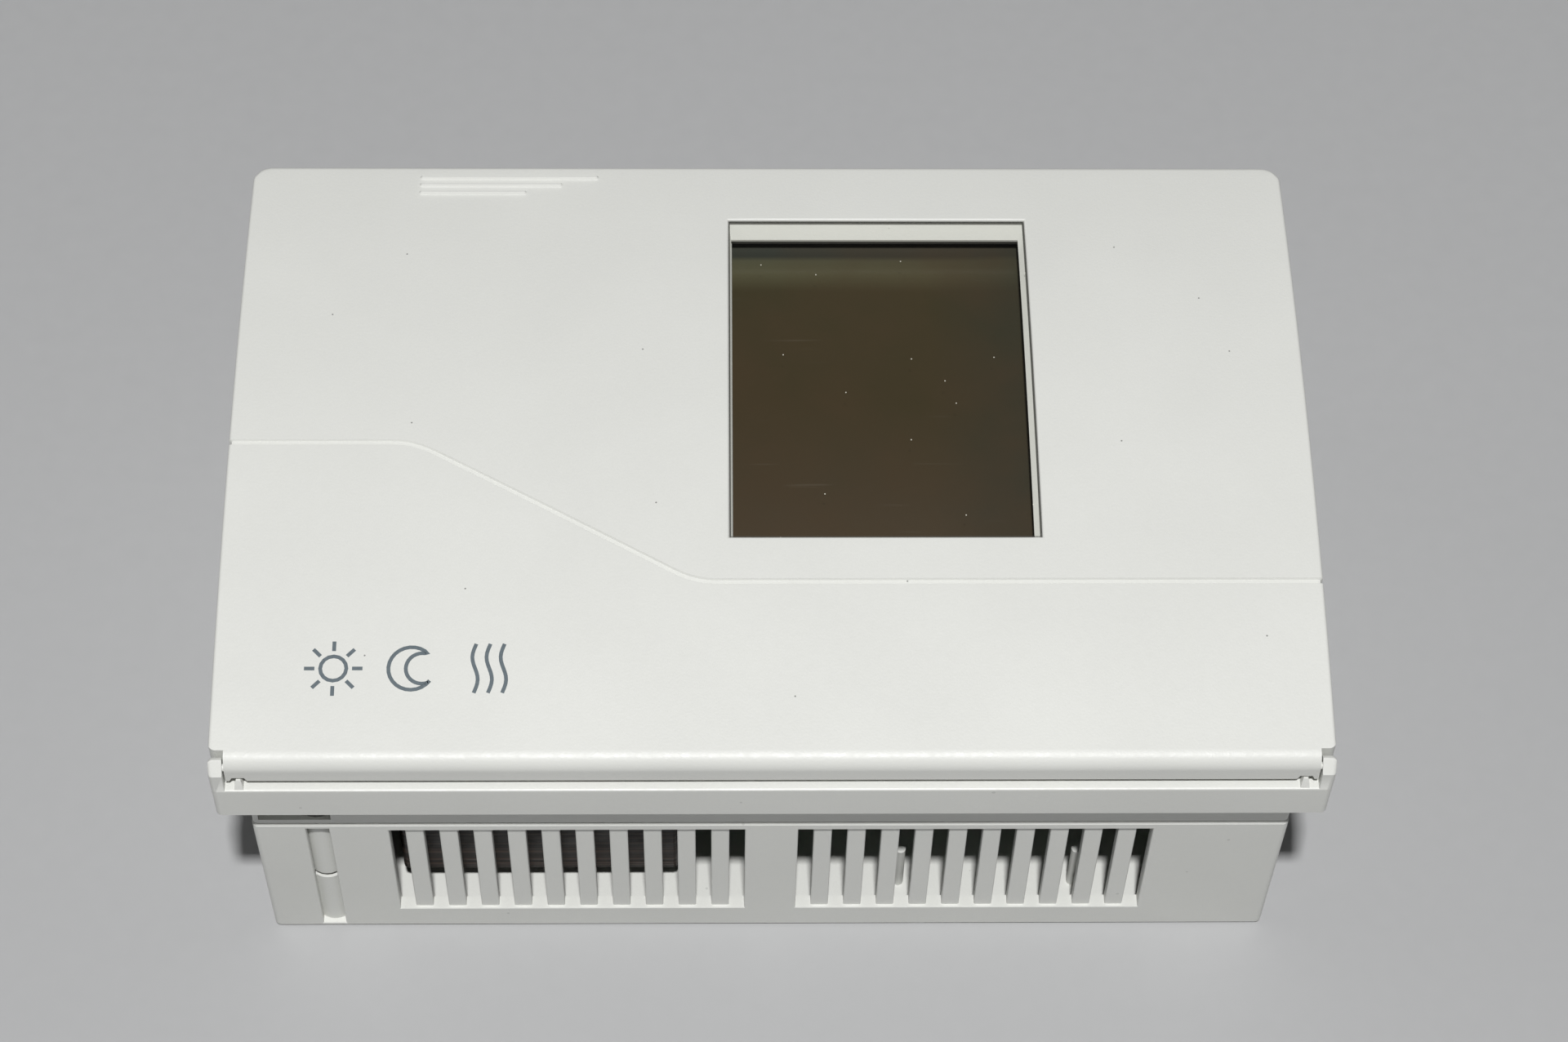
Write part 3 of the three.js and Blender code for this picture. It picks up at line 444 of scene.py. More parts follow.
def liquid_crystal():
    """Switched-off display: brown, with a painted olive reflection band at its far edge, bluish to
    the right, cloudy.
    """
    material, tree, shader, where = new_material("liquid_crystal")
    low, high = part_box("display_glass")
    across = remap(tree, axis_value(tree, where, "X"), low.x, high.x, 0.0, 1.0)
    upward = remap(tree, axis_value(tree, where, "Y"), low.y, high.y, 0.0, 1.0)
    wavering = calculate(tree, "MULTIPLY", noise(tree, where, 40, 2), 0.02)
    ramp = make_node(tree, "ValToRGB", Fac=calculate(tree, "ADD", upward, wavering))
    elements = ramp.color_ramp.elements
    while len(elements) < len(DISPLAY_COLOURS_AND_REFLECTION):
        elements.new(0.5)
    for element, (position, colour) in zip(elements, DISPLAY_COLOURS_AND_REFLECTION):
        element.position = position
        element.color = (*colour, 1)
    right = remap(tree, across, 0.66, 0.98, 0.0, 0.7)
    colour = blend_colours(tree, right, ramp.outputs["Color"], (0.036, 0.040, 0.031))
    clouds = remap(tree, noise(tree, where, 75, 3), 0.35, 0.7, 0.0, 0.45)
    colour = blend_colours(tree, clouds, colour, (0.074, 0.049, 0.028))
    coat(tree, shader, colour, noise(tree, where, 800, 2), (0.16, 0.24))
    shader.inputs["IOR"].default_value = 1.45
    relief(tree, shader, noise(tree, where, 2500, 1), 0.01 * MM, 0.2)
    return material


def circuit_board():
    """Green solder mask over copper tracks, with tinned pads."""
    material, tree, shader, where = new_material("circuit_board")
    tracks = make_node(tree, "TexBrick", Vector=where, Scale=60, Mortar_Size=0.035,
                       Brick_Width=0.62, Row_Height=0.16).outputs["Fac"]
    green = ((0.012, 0.075, 0.03), (0.018, 0.10, 0.04))
    mask = blend_colours(tree, noise(tree, where, 120, 2), *green)
    colour = blend_colours(tree, tracks, mask, (0.03, 0.15, 0.055))
    pads = calculate(tree, "LESS_THAN", cells(tree, where, 260, flat=True), 0.16)
    colour = blend_colours(tree, pads, colour, (0.55, 0.56, 0.55))
    coat(tree, shader, colour, noise(tree, where, 900, 2), (0.25, 0.4))
    feed(tree, shader.inputs["Metallic"], calculate(tree, "MULTIPLY", pads, 0.9))
    relief(tree, shader, calculate(tree, "ADD", tracks, pads), 0.04 * MM, 0.6)
    return material


def brushed_metal(name, colour):
    """Plated metal with fine turning marks."""
    material, tree, shader, where = new_material(name)
    marks = noise(tree, stretched(tree, where, (1500, 1500, 9000)), 1.0, 2)
    stain = noise(tree, where, 350, 3)
    body = blend_colours(tree, stain, shaded(colour, 0.78), colour)
    coat(tree, shader, body, stain, (0.22, 0.38))
    shader.inputs["Metallic"].default_value = 1.0
    relief(tree, shader, marks, 0.01 * MM, 0.4)
    return material


def laminated_iron():
    """Transformer: thin varnished sheets stacked along Z, with rust-brown edges."""
    material, tree, shader, where = new_material("laminated_iron")
    layers = noise(tree, stretched(tree, where, (6, 6, 1900)), 1.0, 1)
    patches = noise(tree, where, 260, 4)
    dark = blend_colours(tree, patches, (0.010, 0.009, 0.009), (0.035, 0.026, 0.022))
    edges = remap(tree, layers, 0.52, 0.66, 0.0, 0.7)
    coat(tree, shader, blend_colours(tree, edges, dark, (0.10, 0.065, 0.05)), patches, (0.35, 0.6))
    relief(tree, shader, layers, 0.12 * MM, 0.7)
    return material


def uneven_surface(name, scale, detail, first, second, rough):
    """Surface that wanders between two colours and two roughnesses."""
    material, tree, shader, where = new_material(name)
    uneven = noise(tree, where, scale, detail)
    coat(tree, shader, blend_colours(tree, uneven, first, second), uneven, rough)
    return material, tree, shader, where


def soft_rubber():
    """Matt silicone with a dusty bloom."""
    material, tree, shader, where = uneven_surface(
        "soft_rubber", 400, 4, (0.045, 0.05, 0.055), (0.085, 0.09, 0.095), (0.7, 0.9))
    relief(tree, shader, noise(tree, where, 4000, 1), 0.02 * MM, 0.4)
    return material


def lamp_lens():
    """Unlit red diffused lens."""
    material, _, shader, _ = uneven_surface(
        "lamp_lens", 900, 2, (0.35, 0.02, 0.015), (0.5, 0.04, 0.03), (0.12, 0.2))
    shader.inputs["Coat Weight"].default_value = 0.5
    return material


def printed_ink(name, colour):
    """Screen-printed ink, slightly uneven."""
    return uneven_surface(name, 2600, 2, colour, shaded(colour, 1.35), (0.45, 0.6))[0]


def pale_floor():
    """Seamless pale paper."""
    return uneven_surface("pale_floor", 350, 4, (0.43, 0.433, 0.437), (0.455, 0.458, 0.462),
                          (0.75, 0.9))[0]


# --------------------------------------------------------------- mesh helpers

def link(made):
    bpy.context.scene.collection.objects.link(made)
    return made


def mesh_object(name, builder):
    """Object from a filled bmesh, which is used up."""
    mesh = bpy.data.meshes.new(name)
    bmesh.ops.recalc_face_normals(builder, faces=builder.faces)
    builder.to_mesh(mesh)
    builder.free()
    return link(bpy.data.objects.new(name, mesh))


def new_piece(name, builder, material, body):
    """Piece that rides on a body, smooth except at its sharp edges."""
    piece = mesh_object(name, builder)
    piece.data.materials.append(material)
    smooth(piece.data, SHARP_ANGLE)
    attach(piece, body)
    return piece


def smooth(mesh, angle):
    mesh.shade_smooth()
    mesh.set_sharp_from_angle(angle=math.radians(angle))


def level_normals(piece, keep_sharp=True):
    """Lets large faces set the shading, so that they stay flat beside small roundings."""
    normals = piece.modifiers.new("normals", "WEIGHTED_NORMAL")
    normals.weight = 50
    normals.keep_sharp = keep_sharp


def filled(marks, step):
    """Sorted positions with extra ones between marks that are further apart than step."""
    ordered = sorted(marks)
    positions = [ordered[0]]
    for low, high in zip(ordered, ordered[1:]):
        count = max(1, math.ceil((high - low) / step - 1e-6))
        positions += [low + (high - low) * part / count for part in range(1, count + 1)]
    return positions


def ease(share):
    """Smooth step from 0 to 1."""
    held = min(max(share, 0.0), 1.0)
    return held * held * (3 - 2 * held)


# ------------------------------------------------------------------- the cover

def crown_height(y, depth=0.0):
    """Z of the cover's crown at y, or of a surface that lies deeper by depth."""
    return CROWN_CENTRE_Z + math.sqrt((CROWN_RADIUS - depth) ** 2 - (y - CROWN_Y) ** 2)


def crown_tilt(y):
    """Sine of the crown's slope at y."""
    return (y - CROWN_Y) / CROWN_RADIUS


GROOVE_SLOPE = (GROOVE_LOWER.y - GROOVE_UPPER.y) / (GROOVE_LOWER.x - GROOVE_UPPER.x)


def groove_line(x):
    """Middle of the groove at x: its y and its slope, rounded at the two bends."""
    past_upper = x - (GROOVE_UPPER.x - GROOVE_BEND)
    past_lower = x - (GROOVE_LOWER.x - GROOVE_BEND)
    if past_upper <= 0:
        return GROOVE_UPPER.y, 0.0
    if past_upper < 2 * GROOVE_BEND:
        share = past_upper / (2 * GROOVE_BEND)
        return GROOVE_UPPER.y + GROOVE_SLOPE * share * past_upper / 2, GROOVE_SLOPE * share
    if past_lower <= 0:
        return GROOVE_UPPER.y + GROOVE_SLOPE * (x - GROOVE_UPPER.x), GROOVE_SLOPE
    if past_lower < 2 * GROOVE_BEND:
        share = past_lower / (2 * GROOVE_BEND)
        start = GROOVE_LOWER.y - GROOVE_SLOPE * GROOVE_BEND
        return start + GROOVE_SLOPE * past_lower * (1 - share / 2), GROOVE_SLOPE * (1 - share)
    return GROOVE_LOWER.y, 0.0


def groove_point(x, offset):
    """Point beside the groove's middle, at right angles to it."""
    y, slope = groove_line(x)
    length = math.hypot(1, slope)
    return Vector((x - offset * slope / length, y + offset / length))


def groove_depth(offset):
    return GROOVE_DEPTH * ease((GROOVE_HALF - abs(offset)) / GROOVE_EASE)


def rib_height(x, y):
    """Rise of the finger ribs above the crown."""
    rise = 0.0
    for centre_y, length in RIBS:
        along = min(max(x, RIB_LEFT + RIB_HALF), RIB_LEFT + length - RIB_HALF)
        away = math.hypot(x - along, y - centre_y)
        rise = max(rise, RIB_RISE * ease((RIB_HALF - away) / RIB_EASE))
    return rise


def fillet_inset(y, radius):
    """How far a fillet reaches inward from an upright face where the crown slopes."""
    return radius * (1 - abs(crown_tilt(y)))


NEAR_START = NEAR_EDGE + fillet_inset(NEAR_EDGE, NEAR_FILLET)
FAR_START = FAR_EDGE - fillet_inset(FAR_EDGE, FAR_FILLET)
SIDE_START = HALF_WIDTH - SIDE_FILLET


def cover_columns():
    """X of each column of the cover's grid, closer where it bends."""
    x0, x1 = WINDOW_RIM[:2]
    marks = [x0, x1, x0 - MM, x1 + MM]
    for side in (-1, 1):
        marks += [side * (CORNER_X + (SIDE_START - CORNER_X) * part / 5) for part in range(6)]
    for bend in (GROOVE_UPPER.x, GROOVE_LOWER.x):
        marks += [bend + GROOVE_BEND * part / 3 for part in range(-4, 5)]
    ends = [RIB_LEFT] + [RIB_LEFT + length for _, length in RIBS]
    for end, inward in zip(ends, (1, -1, -1, -1)):
        marks += [end + inward * RIB_HALF * part for part in (-0.3, 0, 0.18, 0.4, 0.7, 1.0, 1.5)]
    unique = sorted(set(round(mark, 7) for mark in marks))
    spaced = [unique[0]]
    for mark in unique[1:]:
        if mark - spaced[-1] > CLOSEST_COLUMNS:
            spaced.append(mark)
    return filled(spaced, GRID_STEP)


def cover_rows():
    """Rows of the cover's grid as (kind, value), from the hinge to the opening edge."""
    reach = GROOVE_ROWS[-1]
    lower_end = GROOVE_LOWER.y + reach
    span = STRAIGHT_FAR - lower_end
    y0, y1 = WINDOW_RIM[2:]
    between = [lower_end, y0, y1, y0 - MM, y1 + MM, STRAIGHT_FAR]
    ribs = [centre + RIB_HALF * part for centre, _ in RIBS
            for part in (-1.2, -1, -0.8, -0.6, -0.35, 0, 0.35, 0.6, 0.8, 1, 1.2)]
    far = [STRAIGHT_FAR, CORNER_Y, FAR_START, *ribs]
    rows = [("level", y) for y in filled([NEAR_START, EAR_CUT, STRAIGHT_NEAR], GRID_STEP)]
    rows += [("below", part / 8) for part in range(1, 8)]
    rows += [("groove", offset) for offset in GROOVE_ROWS]
    rows += [("above", (y - lower_end) / span) for y in filled(between, GRID_STEP)[1:-1]]
    rows += [("level", y) for y in filled(far, 2 * MM)]
    return rows


def row_point(x, row):
    """Plan position of a grid point, and how deep the groove is there."""
    kind, value = row
    if kind == "groove":
        return groove_point(x, value), groove_depth(value)
    if kind == "below":
        return Vector((x, STRAIGHT_NEAR)).lerp(groove_point(x, GROOVE_ROWS[0]), value), 0.0
    if kind == "above":
        return groove_point(x, GROOVE_ROWS[-1]).lerp(Vector((x, STRAIGHT_FAR)), value), 0.0
    return Vector((x, value)), 0.0


def rounded_corner(point):
    """Grid point moved so that the grid's two far corners become rounded."""
    over_x, over_y = abs(point.x) - CORNER_X, point.y - CORNER_Y
    if over_x <= 0 or over_y <= 0:
        return point
    reach_x, reach_y = SIDE_START - CORNER_X, FAR_START - CORNER_Y
    u, v = over_x / reach_x, over_y / reach_y
    moved_x = CORNER_X + reach_x * u * math.sqrt(1 - v * v / 2)
    moved_y = CORNER_Y + reach_y * v * math.sqrt(1 - u * u / 2)
    return Vector((math.copysign(moved_x, point.x), moved_y))


def outer_edge(point):
    """Where a rim point of the grid ends on the cover's upright faces: (x, y), fillet, tilt."""
    over_x, over_y = abs(point.x) - CORNER_X, point.y - CORNER_Y
    tilt = abs(crown_tilt(point.y))
    if over_x > 0 and over_y > 0:
        turn = math.atan2(over_y / (FAR_START - CORNER_Y), over_x / (SIDE_START - CORNER_X))
        share = turn / (math.pi / 2)
        x = CORNER_X + CORNER_RADIUS * math.cos(turn)
        y = CORNER_Y + CORNER_RADIUS * math.sin(turn)
        fillet = SIDE_FILLET + (FAR_FILLET - SIDE_FILLET) * share
        return Vector((math.copysign(x, point.x), y)), fillet, tilt * share
    at_side = abs(point.x) > SIDE_START - TOUCHING
    x = math.copysign(HALF_WIDTH, point.x) if at_side else point.x
    if point.y < NEAR_START + TOUCHING:
        return Vector((x, NEAR_EDGE)), NEAR_FILLET, tilt
    if point.y > FAR_START - TOUCHING:
        return Vector((x, FAR_EDGE)), FAR_FILLET, tilt
    return Vector((x, point.y)), SIDE_FILLET, 0.0


def beside_window(place, axis):
    """Underside place of a grid line at the window's rim; other lines stay as they are."""
    for side in (0, 1):
        if abs(place - WINDOW_RIM[2 * axis + side]) < 10 * TOUCHING:
            return WINDOW[2 * axis + side] + (UNDER_EDGE if side else -UNDER_EDGE)
    return place


def inner_column(x):
    """Underside x of a grid line: inside the side walls, and outside the pane's frame."""
    if abs(x) <= CORNER_X:
        return beside_window(x, 0)
    start = CORNER_X - 0.5 * MM
    share = (abs(x) - CORNER_X) / (SIDE_START - CORNER_X)
    return math.copysign(start + share * (HALF_WIDTH - SIDE_WALL - start), x)


def inner_row(y):
    """Underside y of a grid point: inside the near and far walls."""
    if y < STRAIGHT_NEAR:
        share = (STRAIGHT_NEAR - y) / (STRAIGHT_NEAR - NEAR_START)
        return STRAIGHT_NEAR - share * (STRAIGHT_NEAR - (NEAR_EDGE + COVER_WALL))
    if y > STRAIGHT_FAR:
        share = (y - STRAIGHT_FAR) / (FAR_START - STRAIGHT_FAR)
        return STRAIGHT_FAR + share * (FAR_EDGE - SIDE_WALL - STRAIGHT_FAR)
    return beside_window(y, 1)


def bridge(builder, first, second):
    """Quads between two closed rings of the same length."""
    count = len(first)
    for index in range(count):
        after = (index + 1) % count
        builder.faces.new((first[index], first[after], second[after], second[index]))


def bridge_all(builder, *rings):
    for first, second in zip(rings, rings[1:]):
        bridge(builder, first, second)


def rim_of(grid):
    """The outline of a grid (or part of one) as one closed ring, counter-clockwise."""
    bottom = [column[0] for column in grid[:-1]]
    right = grid[-1][:-1]
    top = [column[-1] for column in reversed(grid[1:])]
    left = list(reversed(grid[0][1:]))
    return bottom + right + top + left


def fill_grids(builder, upper, lower, hole=(0, 0, 0, 0)):
    """Quads over an upper grid and, facing down, over a lower one, but for a hole's cells."""
    for i in range(len(upper) - 1):
        for j in range(len(upper[0]) - 1):
            if hole[0] <= i < hole[1] and hole[2] <= j < hole[3]:
                continue
            corners = ((i, j), (i + 1, j), (i + 1, j + 1), (i, j + 1))
            builder.faces.new([upper[a][b] for a, b in corners])
            builder.faces.new([lower[a][b] for a, b in reversed(corners)])


def nearest(values, target):
    """Index of the value nearest to the target."""
    return min(range(len(values)), key=lambda index: abs(values[index] - target))


def cover_shell():
    """The whole cover but for its hinge pins, as one closed skin of quads."""
    builder = bmesh.new()
    columns = cover_columns()
    rows = cover_rows()
    outer, inner = [], []
    for x in columns:
        outer.append([])
        inner.append([])
        for row in rows:
            point, depth = row_point(x, row)
            plan = rounded_corner(point)
            height = crown_height(plan.y) - depth + rib_height(plan.x, plan.y)
            outer[-1].append(builder.verts.new((plan.x, plan.y, height)))
            under_y = inner_row(point.y)
            under = (inner_column(x), under_y, crown_height(under_y, COVER_WALL))
            inner[-1].append(builder.verts.new(under))
    left, right = (nearest(columns, x) for x in WINDOW_RIM[:2])
    beside = [vertex.co.y for vertex in outer[left]]
    bottom, top = (nearest(beside, y) for y in WINDOW_RIM[2:])
    fill_grids(builder, outer, inner, hole=(left, right, bottom, top))
    close_rim(builder, rim_of(outer), rim_of(inner))
    holes = [rim_of([column[bottom:top + 1] for column in grid[left:right + 1]])
             for grid in (outer, inner)]
    close_window(builder, *holes)
    return builder


def side_notch(point):
    """How deep the groove cuts into the side faces beside a rim point."""
    if abs(point.x) < SIDE_START - TOUCHING:
        return 0.0
    middle = GROOVE_UPPER.y if point.x < 0 else GROOVE_LOWER.y
    return groove_depth(point.y - middle)


def close_rim(builder, outside, inside):
    """Fillets, upright faces, lower edge and inner faces round the cover."""
    ends = []
    for vertex in outside:
        edge, fillet, tilt = outer_edge(vertex.co)
        edge.x -= math.copysign(side_notch(vertex.co), edge.x)
        ends.append((vertex.co.copy(), edge, fillet, tilt))
    previous = outside
    for step in range(1, FILLET_STEPS + 1):
        ring = []
        for start, edge, fillet, tilt in ends:
            first = math.asin(tilt)
            angle = first + (math.pi / 2 - first) * step / FILLET_STEPS
            share = (math.sin(angle) - tilt) / (1 - tilt)
            plan = start.to_2d().lerp(edge, share)
            drop = fillet * (math.cos(first) - math.cos(angle))
            ring.append(builder.verts.new((plan.x, plan.y, start.z - drop)))
        bridge(builder, previous, ring)
        previous = ring

    def bottom_of(start):
        return NEAR_BOTTOM if start.y < NEAR_START + TOUCHING else SIDE_BOTTOM

    chamfered, lowest, inner_low = [], [], []
    for (start, edge, _, _), under in zip(ends, inside):
        height = bottom_of(start)
        inward = (under.co.to_2d() - edge).normalized() * RIM_CHAMFER
        chamfered.append(builder.verts.new((edge.x, edge.y, height + RIM_CHAMFER)))
        lowest.append(builder.verts.new((edge.x + inward.x, edge.y + inward.y, height)))
        inner_low.append(builder.verts.new((under.co.x, under.co.y, height)))
    bridge_all(builder, previous, chamfered, lowest, inner_low, inside)


def close_window(builder, outside, inside):
    """Rounded rim and wall of the window opening, and the frame that shows through the pane."""
    x0, x1, y0, y1 = WINDOW

    def towards(point, inset):
        x = min(max(point.x, WINDOW_RIM[0] + inset), WINDOW_RIM[1] - inset)
        y = min(max(point.y, WINDOW_RIM[2] + inset), WINDOW_RIM[3] - inset)
        return x, y

    rings = [outside]
    for step in range(1, WINDOW_STEPS + 1):
        angle = math.pi / 2 * step / WINDOW_STEPS
        ring = []
        for vertex in outside:
            x, y = towards(vertex.co, WINDOW_FILLET * math.sin(angle))
            drop = WINDOW_FILLET * (1 - math.cos(angle))
            ring.append(builder.verts.new((x, y, crown_height(y) - drop)))
        rings.append(ring)
    wall, frame_edge, frame_back = [], [], []
    for vertex in outside:
        x, y = towards(vertex.co, WINDOW_FILLET)
        wall.append(builder.verts.new((x, y, crown_height(y, LEDGE_DEPTH))))
        across = (x - x0) / (x1 - x0)
        up = (y - y0) / (y1 - y0)
        edge_x = x0 + FRAME_LEFT + across * (x1 - x0 - FRAME_LEFT - FRAME_RIGHT)
        edge_y = y0 + FRAME_NEAR + up * (y1 - y0 - FRAME_NEAR - FRAME_FAR)
        frame_edge.append(builder.verts.new((edge_x, edge_y, crown_height(edge_y, FRAME_TOP))))
        frame_back.append(builder.verts.new((edge_x, edge_y, crown_height(edge_y, FRAME_BACK))))
    bridge_all(builder, *rings, wall, frame_edge, frame_back, inside)


def loft(builder, rings, closed=False):
    """Skin through rings of points; closed joins the last to the first, else both are capped."""
    made = [[builder.verts.new(point) for point in ring] for ring in rings]
    bridge_all(builder, *made)
    if closed:
        bridge(builder, made[-1], made[0])
    else:
        builder.faces.new(list(reversed(made[0])))
        builder.faces.new(made[-1])


def add_tapered(builder, stations, side=1):
    """Block with a rectangle (x0, x1, y0, y1) at each height z."""
    loft(builder, [[(side * x, y, z) for x, y in ((x0, y0), (x1, y0), (x1, y1), (x0, y1))]
                   for x0, x1, y0, y1, z in stations])


def add_block(builder, *spans):
    """Box over a span of x, of y and of z, each with its ends in any order."""
    across, up, (back, front) = (sorted(span) for span in spans)
    add_tapered(builder, [(*across, *up, z) for z in (back, front)])


def add_post(builder, place, radius, z0, z1, segments=40):
    """Upright cylinder at a place (x, y)."""
    turns = [2 * math.pi * part / segments for part in range(segments)]
    plan = [(place[0] + radius * math.cos(turn), place[1] + radius * math.sin(turn))
            for turn in turns]
    loft(builder, [[(*point, z) for point in plan] for z in (z0, z1)])


def add_rod(builder, y, z, radius, x0, x1, segments=32):
    """Cylinder along X with a small chamfer at each end."""
    chamfer = math.copysign(radius * 0.2, x1 - x0)
    stations = ((x0, radius - abs(chamfer)), (x0 + chamfer, radius),
                (x1 - chamfer, radius), (x1, radius - abs(chamfer)))
    turns = [2 * math.pi * part / segments for part in range(segments)]
    loft(builder, [[(x, y + size * math.cos(turn), z + size * math.sin(turn)) for turn in turns]
                   for x, size in stations])


def rounded_ring(half_x, half_y, radius, z, centre=(0, 0), steps=4):
    """Points of a rectangle with round corners, counter-clockwise, at height z."""
    points = []
    for corner, (side_x, side_y) in enumerate(((1, 1), (-1, 1), (-1, -1), (1, -1))):
        for step in range(steps + 1):
            turn = math.pi / 2 * (corner + step / steps)
            points.append((centre[0] + side_x * (half_x - radius) + radius * math.cos(turn),
                           centre[1] + side_y * (half_y - radius) + radius * math.sin(turn), z))
    return points


def combine(piece, builder, operation):
    """Cuts the shape in a bmesh out of a piece, or joins it on."""
    tool = mesh_object("tool", builder)
    change = piece.modifiers.new("change", "BOOLEAN")
    change.operation = operation
    change.solver = "EXACT"
    change.object = tool
    evaluated = piece.evaluated_get(bpy.context.evaluated_depsgraph_get())
    mesh = bpy.data.meshes.new_from_object(evaluated)
    piece.modifiers.clear()
    old = piece.data
    piece.data = mesh
    bpy.data.meshes.remove(old)
    bpy.data.objects.remove(tool)


def ear_clearance(builder, side):
    """Room in the cover round one ear, leaving a rounded corner on the cover."""
    turns = [math.pi / 2 * part / 6 for part in range(7)]
    corner_x, corner_y = HALF_WIDTH - EAR_CORNER, EAR_CUT + EAR_CORNER
    arc = [(corner_x + EAR_CORNER * math.cos(turn), corner_y - EAR_CORNER * math.sin(turn))
           for turn in turns]
    beyond_x, beyond_y = HALF_WIDTH + 2 * MM, NEAR_EDGE - 2 * MM
    plan = [(HINGE_X, beyond_y), (beyond_x, beyond_y), (beyond_x, corner_y),
            *arc, (HINGE_X, EAR_CUT)]
    heights = (SIDE_BOTTOM - MM, COVER_HIGH.z)
    loft(builder, [[(side * x, y, z) for x, y in plan] for z in heights])


def stop_clearance(builder, side):
    """Notch in the cover's near edge over the bezel's stop, with sloping ends."""
    levels = ((0.75 * MM, SIDE_BOTTOM - MM), (0.4 * MM, NEAR_BOTTOM), (0, NOTCH_TOP))
    add_tapered(builder, [(NOTCH_X[0] - wider, NOTCH_X[1] + wider, NEAR_EDGE - MM, NOTCH_FAR, z)
                          for wider, z in levels], side)


def build_cover(material):
    """The cover's shell, cut clear of the hinge ears and stops, with its pins."""
    cover = new_piece("cover_shell", cover_shell(), material, "cover")
    cuts, pins = bmesh.new(), bmesh.new()
    for side in (-1, 1):
        ear_clearance(cuts, side)
        stop_clearance(cuts, side)
        add_rod(pins, HINGE_Y, HINGE_Z, PIN_RADIUS, side * PIN_ROOT, side * PIN_END)
    combine(cover, cuts, "DIFFERENCE")
    combine(cover, pins, "UNION")
    smooth(cover.data, SHARP_ANGLE)
    level_normals(cover)
    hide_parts("front_cover")


# ------------------------------------------------------------- bezel and tub

def ear_outline(inset):
    """Side view of a hinge ear, drawn in by inset: foot, rounded far shoulder, sloping top."""
    near, far = EAR_NEAR + inset, EAR_FAR - inset
    near_top, far_top = EAR_NEAR_TOP - inset * 0.4, EAR_FAR_TOP - inset * 0.7
    shoulder = EAR_CHAMFER - inset * 0.5
    return (
        (near, EAR_FOOT), (far, EAR_FOOT), (far, far_top - shoulder),
        (far - 0.12 * MM, far_top - 0.62 * shoulder), (far - 0.62 * shoulder, far_top - 0.12 * MM),
        (far - shoulder, far_top), (far - shoulder - 0.2 * MM, far_top - 0.13 * MM),
        (near + 0.16 * MM, near_top + 0.11 * MM), (near + 0.04 * MM, near_top + 0.01 * MM),
        (near, near_top - 0.14 * MM),
    )


def add_ear(builder, side):
    """Hinge ear that carries on the cover's rounding, with a softened outer face."""
    radius = EAR_SIDE_RADIUS
    stations = [(EAR_INNER, 0.08 * MM), (EAR_INNER + 0.08 * MM, 0)]
    for part in range(7):
        turn = math.pi / 2 * part / 6
        x = HALF_WIDTH - radius + radius * math.sin(turn)
        stations.append((x, radius * (1 - math.cos(turn))))
    loft(builder, [[(side * x, y, z) for y, z in ear_outline(inset)] for x, inset in stations])


def add_stop(builder, side):
    """Small stop on the lip: a ramp at the front, sloping ends."""
    stations = []
    for ends, front, rise in ((0, 0, -0.5), (0, 0, 0), (0.22, 0.5, 1.25), (0.34, 0.68, 1.42)):
        stations.append((STOP_X[0] + ends * MM, STOP_X[1] - ends * MM,
                         STOP_Y[0] + front * MM, STOP_Y[1], DECK + rise * MM))
    add_tapered(builder, stations, side)


def inset_ring(half_sizes, corner, inset, z):
    """Round-cornered rectangle at height z, drawn in by inset."""
    return rounded_ring(half_sizes[0] - inset, half_sizes[1] - inset, corner - inset, z)


def bezel_ring():
    """Flange and insert as one ring, with its edges rounded."""
    flange = (HALF_WIDTH, BEZEL_HIGH.y)
    rings = [rounded_ring(*INSIDE, INSIDE_CORNER, DECK)]
    for inset, z in (
        (FLANGE_SOFT, DECK),
        (0.3 * FLANGE_SOFT, DECK - 0.3 * FLANGE_SOFT),
        (0, DECK - FLANGE_SOFT),
        (0, FLANGE_BACK + FLANGE_BACK_SOFT),
        (FLANGE_BACK_SOFT, FLANGE_BACK),
    ):
        rings.append(inset_ring(flange, CORNER, inset, z))
    for inset, z in ((0, FLANGE_BACK), (0, BEZEL_LOW.z + INSERT_SOFT), (INSERT_SOFT, BEZEL_LOW.z)):
        rings.append(inset_ring(INSERT, CORNER, inset, z))
    rings.append(rounded_ring(*INSIDE, INSIDE_CORNER, BEZEL_LOW.z))
    builder = bmesh.new()
    loft(builder, rings, closed=True)
    return builder


def add_bezel_details(builder, side):
    """Webs, tabs, hinge ear and stop on one side of the bezel."""
    web_x, web_y, web_back, web_front = WEB
    for up in (-1, 1):
        add_block(builder, (side * web_x, side * (INSIDE[0] + SUNK)),
                  (up * web_y, up * (INSIDE[1] + SUNK)), (web_back, web_front))
        add_block(builder, (side * TAB_X[0], side * TAB_X[1]),
                  (up * (INSIDE[1] - TAB_REACH), up * (INSIDE[1] + SUNK)), TAB_Z)
    add_ear(builder, side)
    add_stop(builder, side)


def cut_clamp_ways(bezel, turn):
    """Room for one panel clamp: sleeve, screw head, lever, and then the screw's shank."""
    web_back, web_front = WEB[2:]
    ways, heads, shank = bmesh.new(), bmesh.new(), bmesh.new()
    add_post(ways, turn * CLAMP, CLAMP_RELIEF, BEZEL_LOW.z - MM, FLANGE_BACK)
    add_post(ways, turn * UNIT_SCREW, UNIT_WAY, web_back - MM, web_front + MM)
    add_block(heads, (turn * -LEVER_WAY_X[1], turn * -LEVER_WAY_X[0]),
              (turn * (-INSERT[1] - MM), turn * (-INSIDE[1] + MM)), LEVER_WAY_Z)
    add_post(heads, turn * CLAMP, CLAMP_HEAD, web_front, DECK + MM)
    add_post(shank, turn * CLAMP, CLAMP_SHANK, FLANGE_BACK - MM, web_front + MM)
    for cut in (ways, heads, shank):
        combine(bezel, cut, "DIFFERENCE")


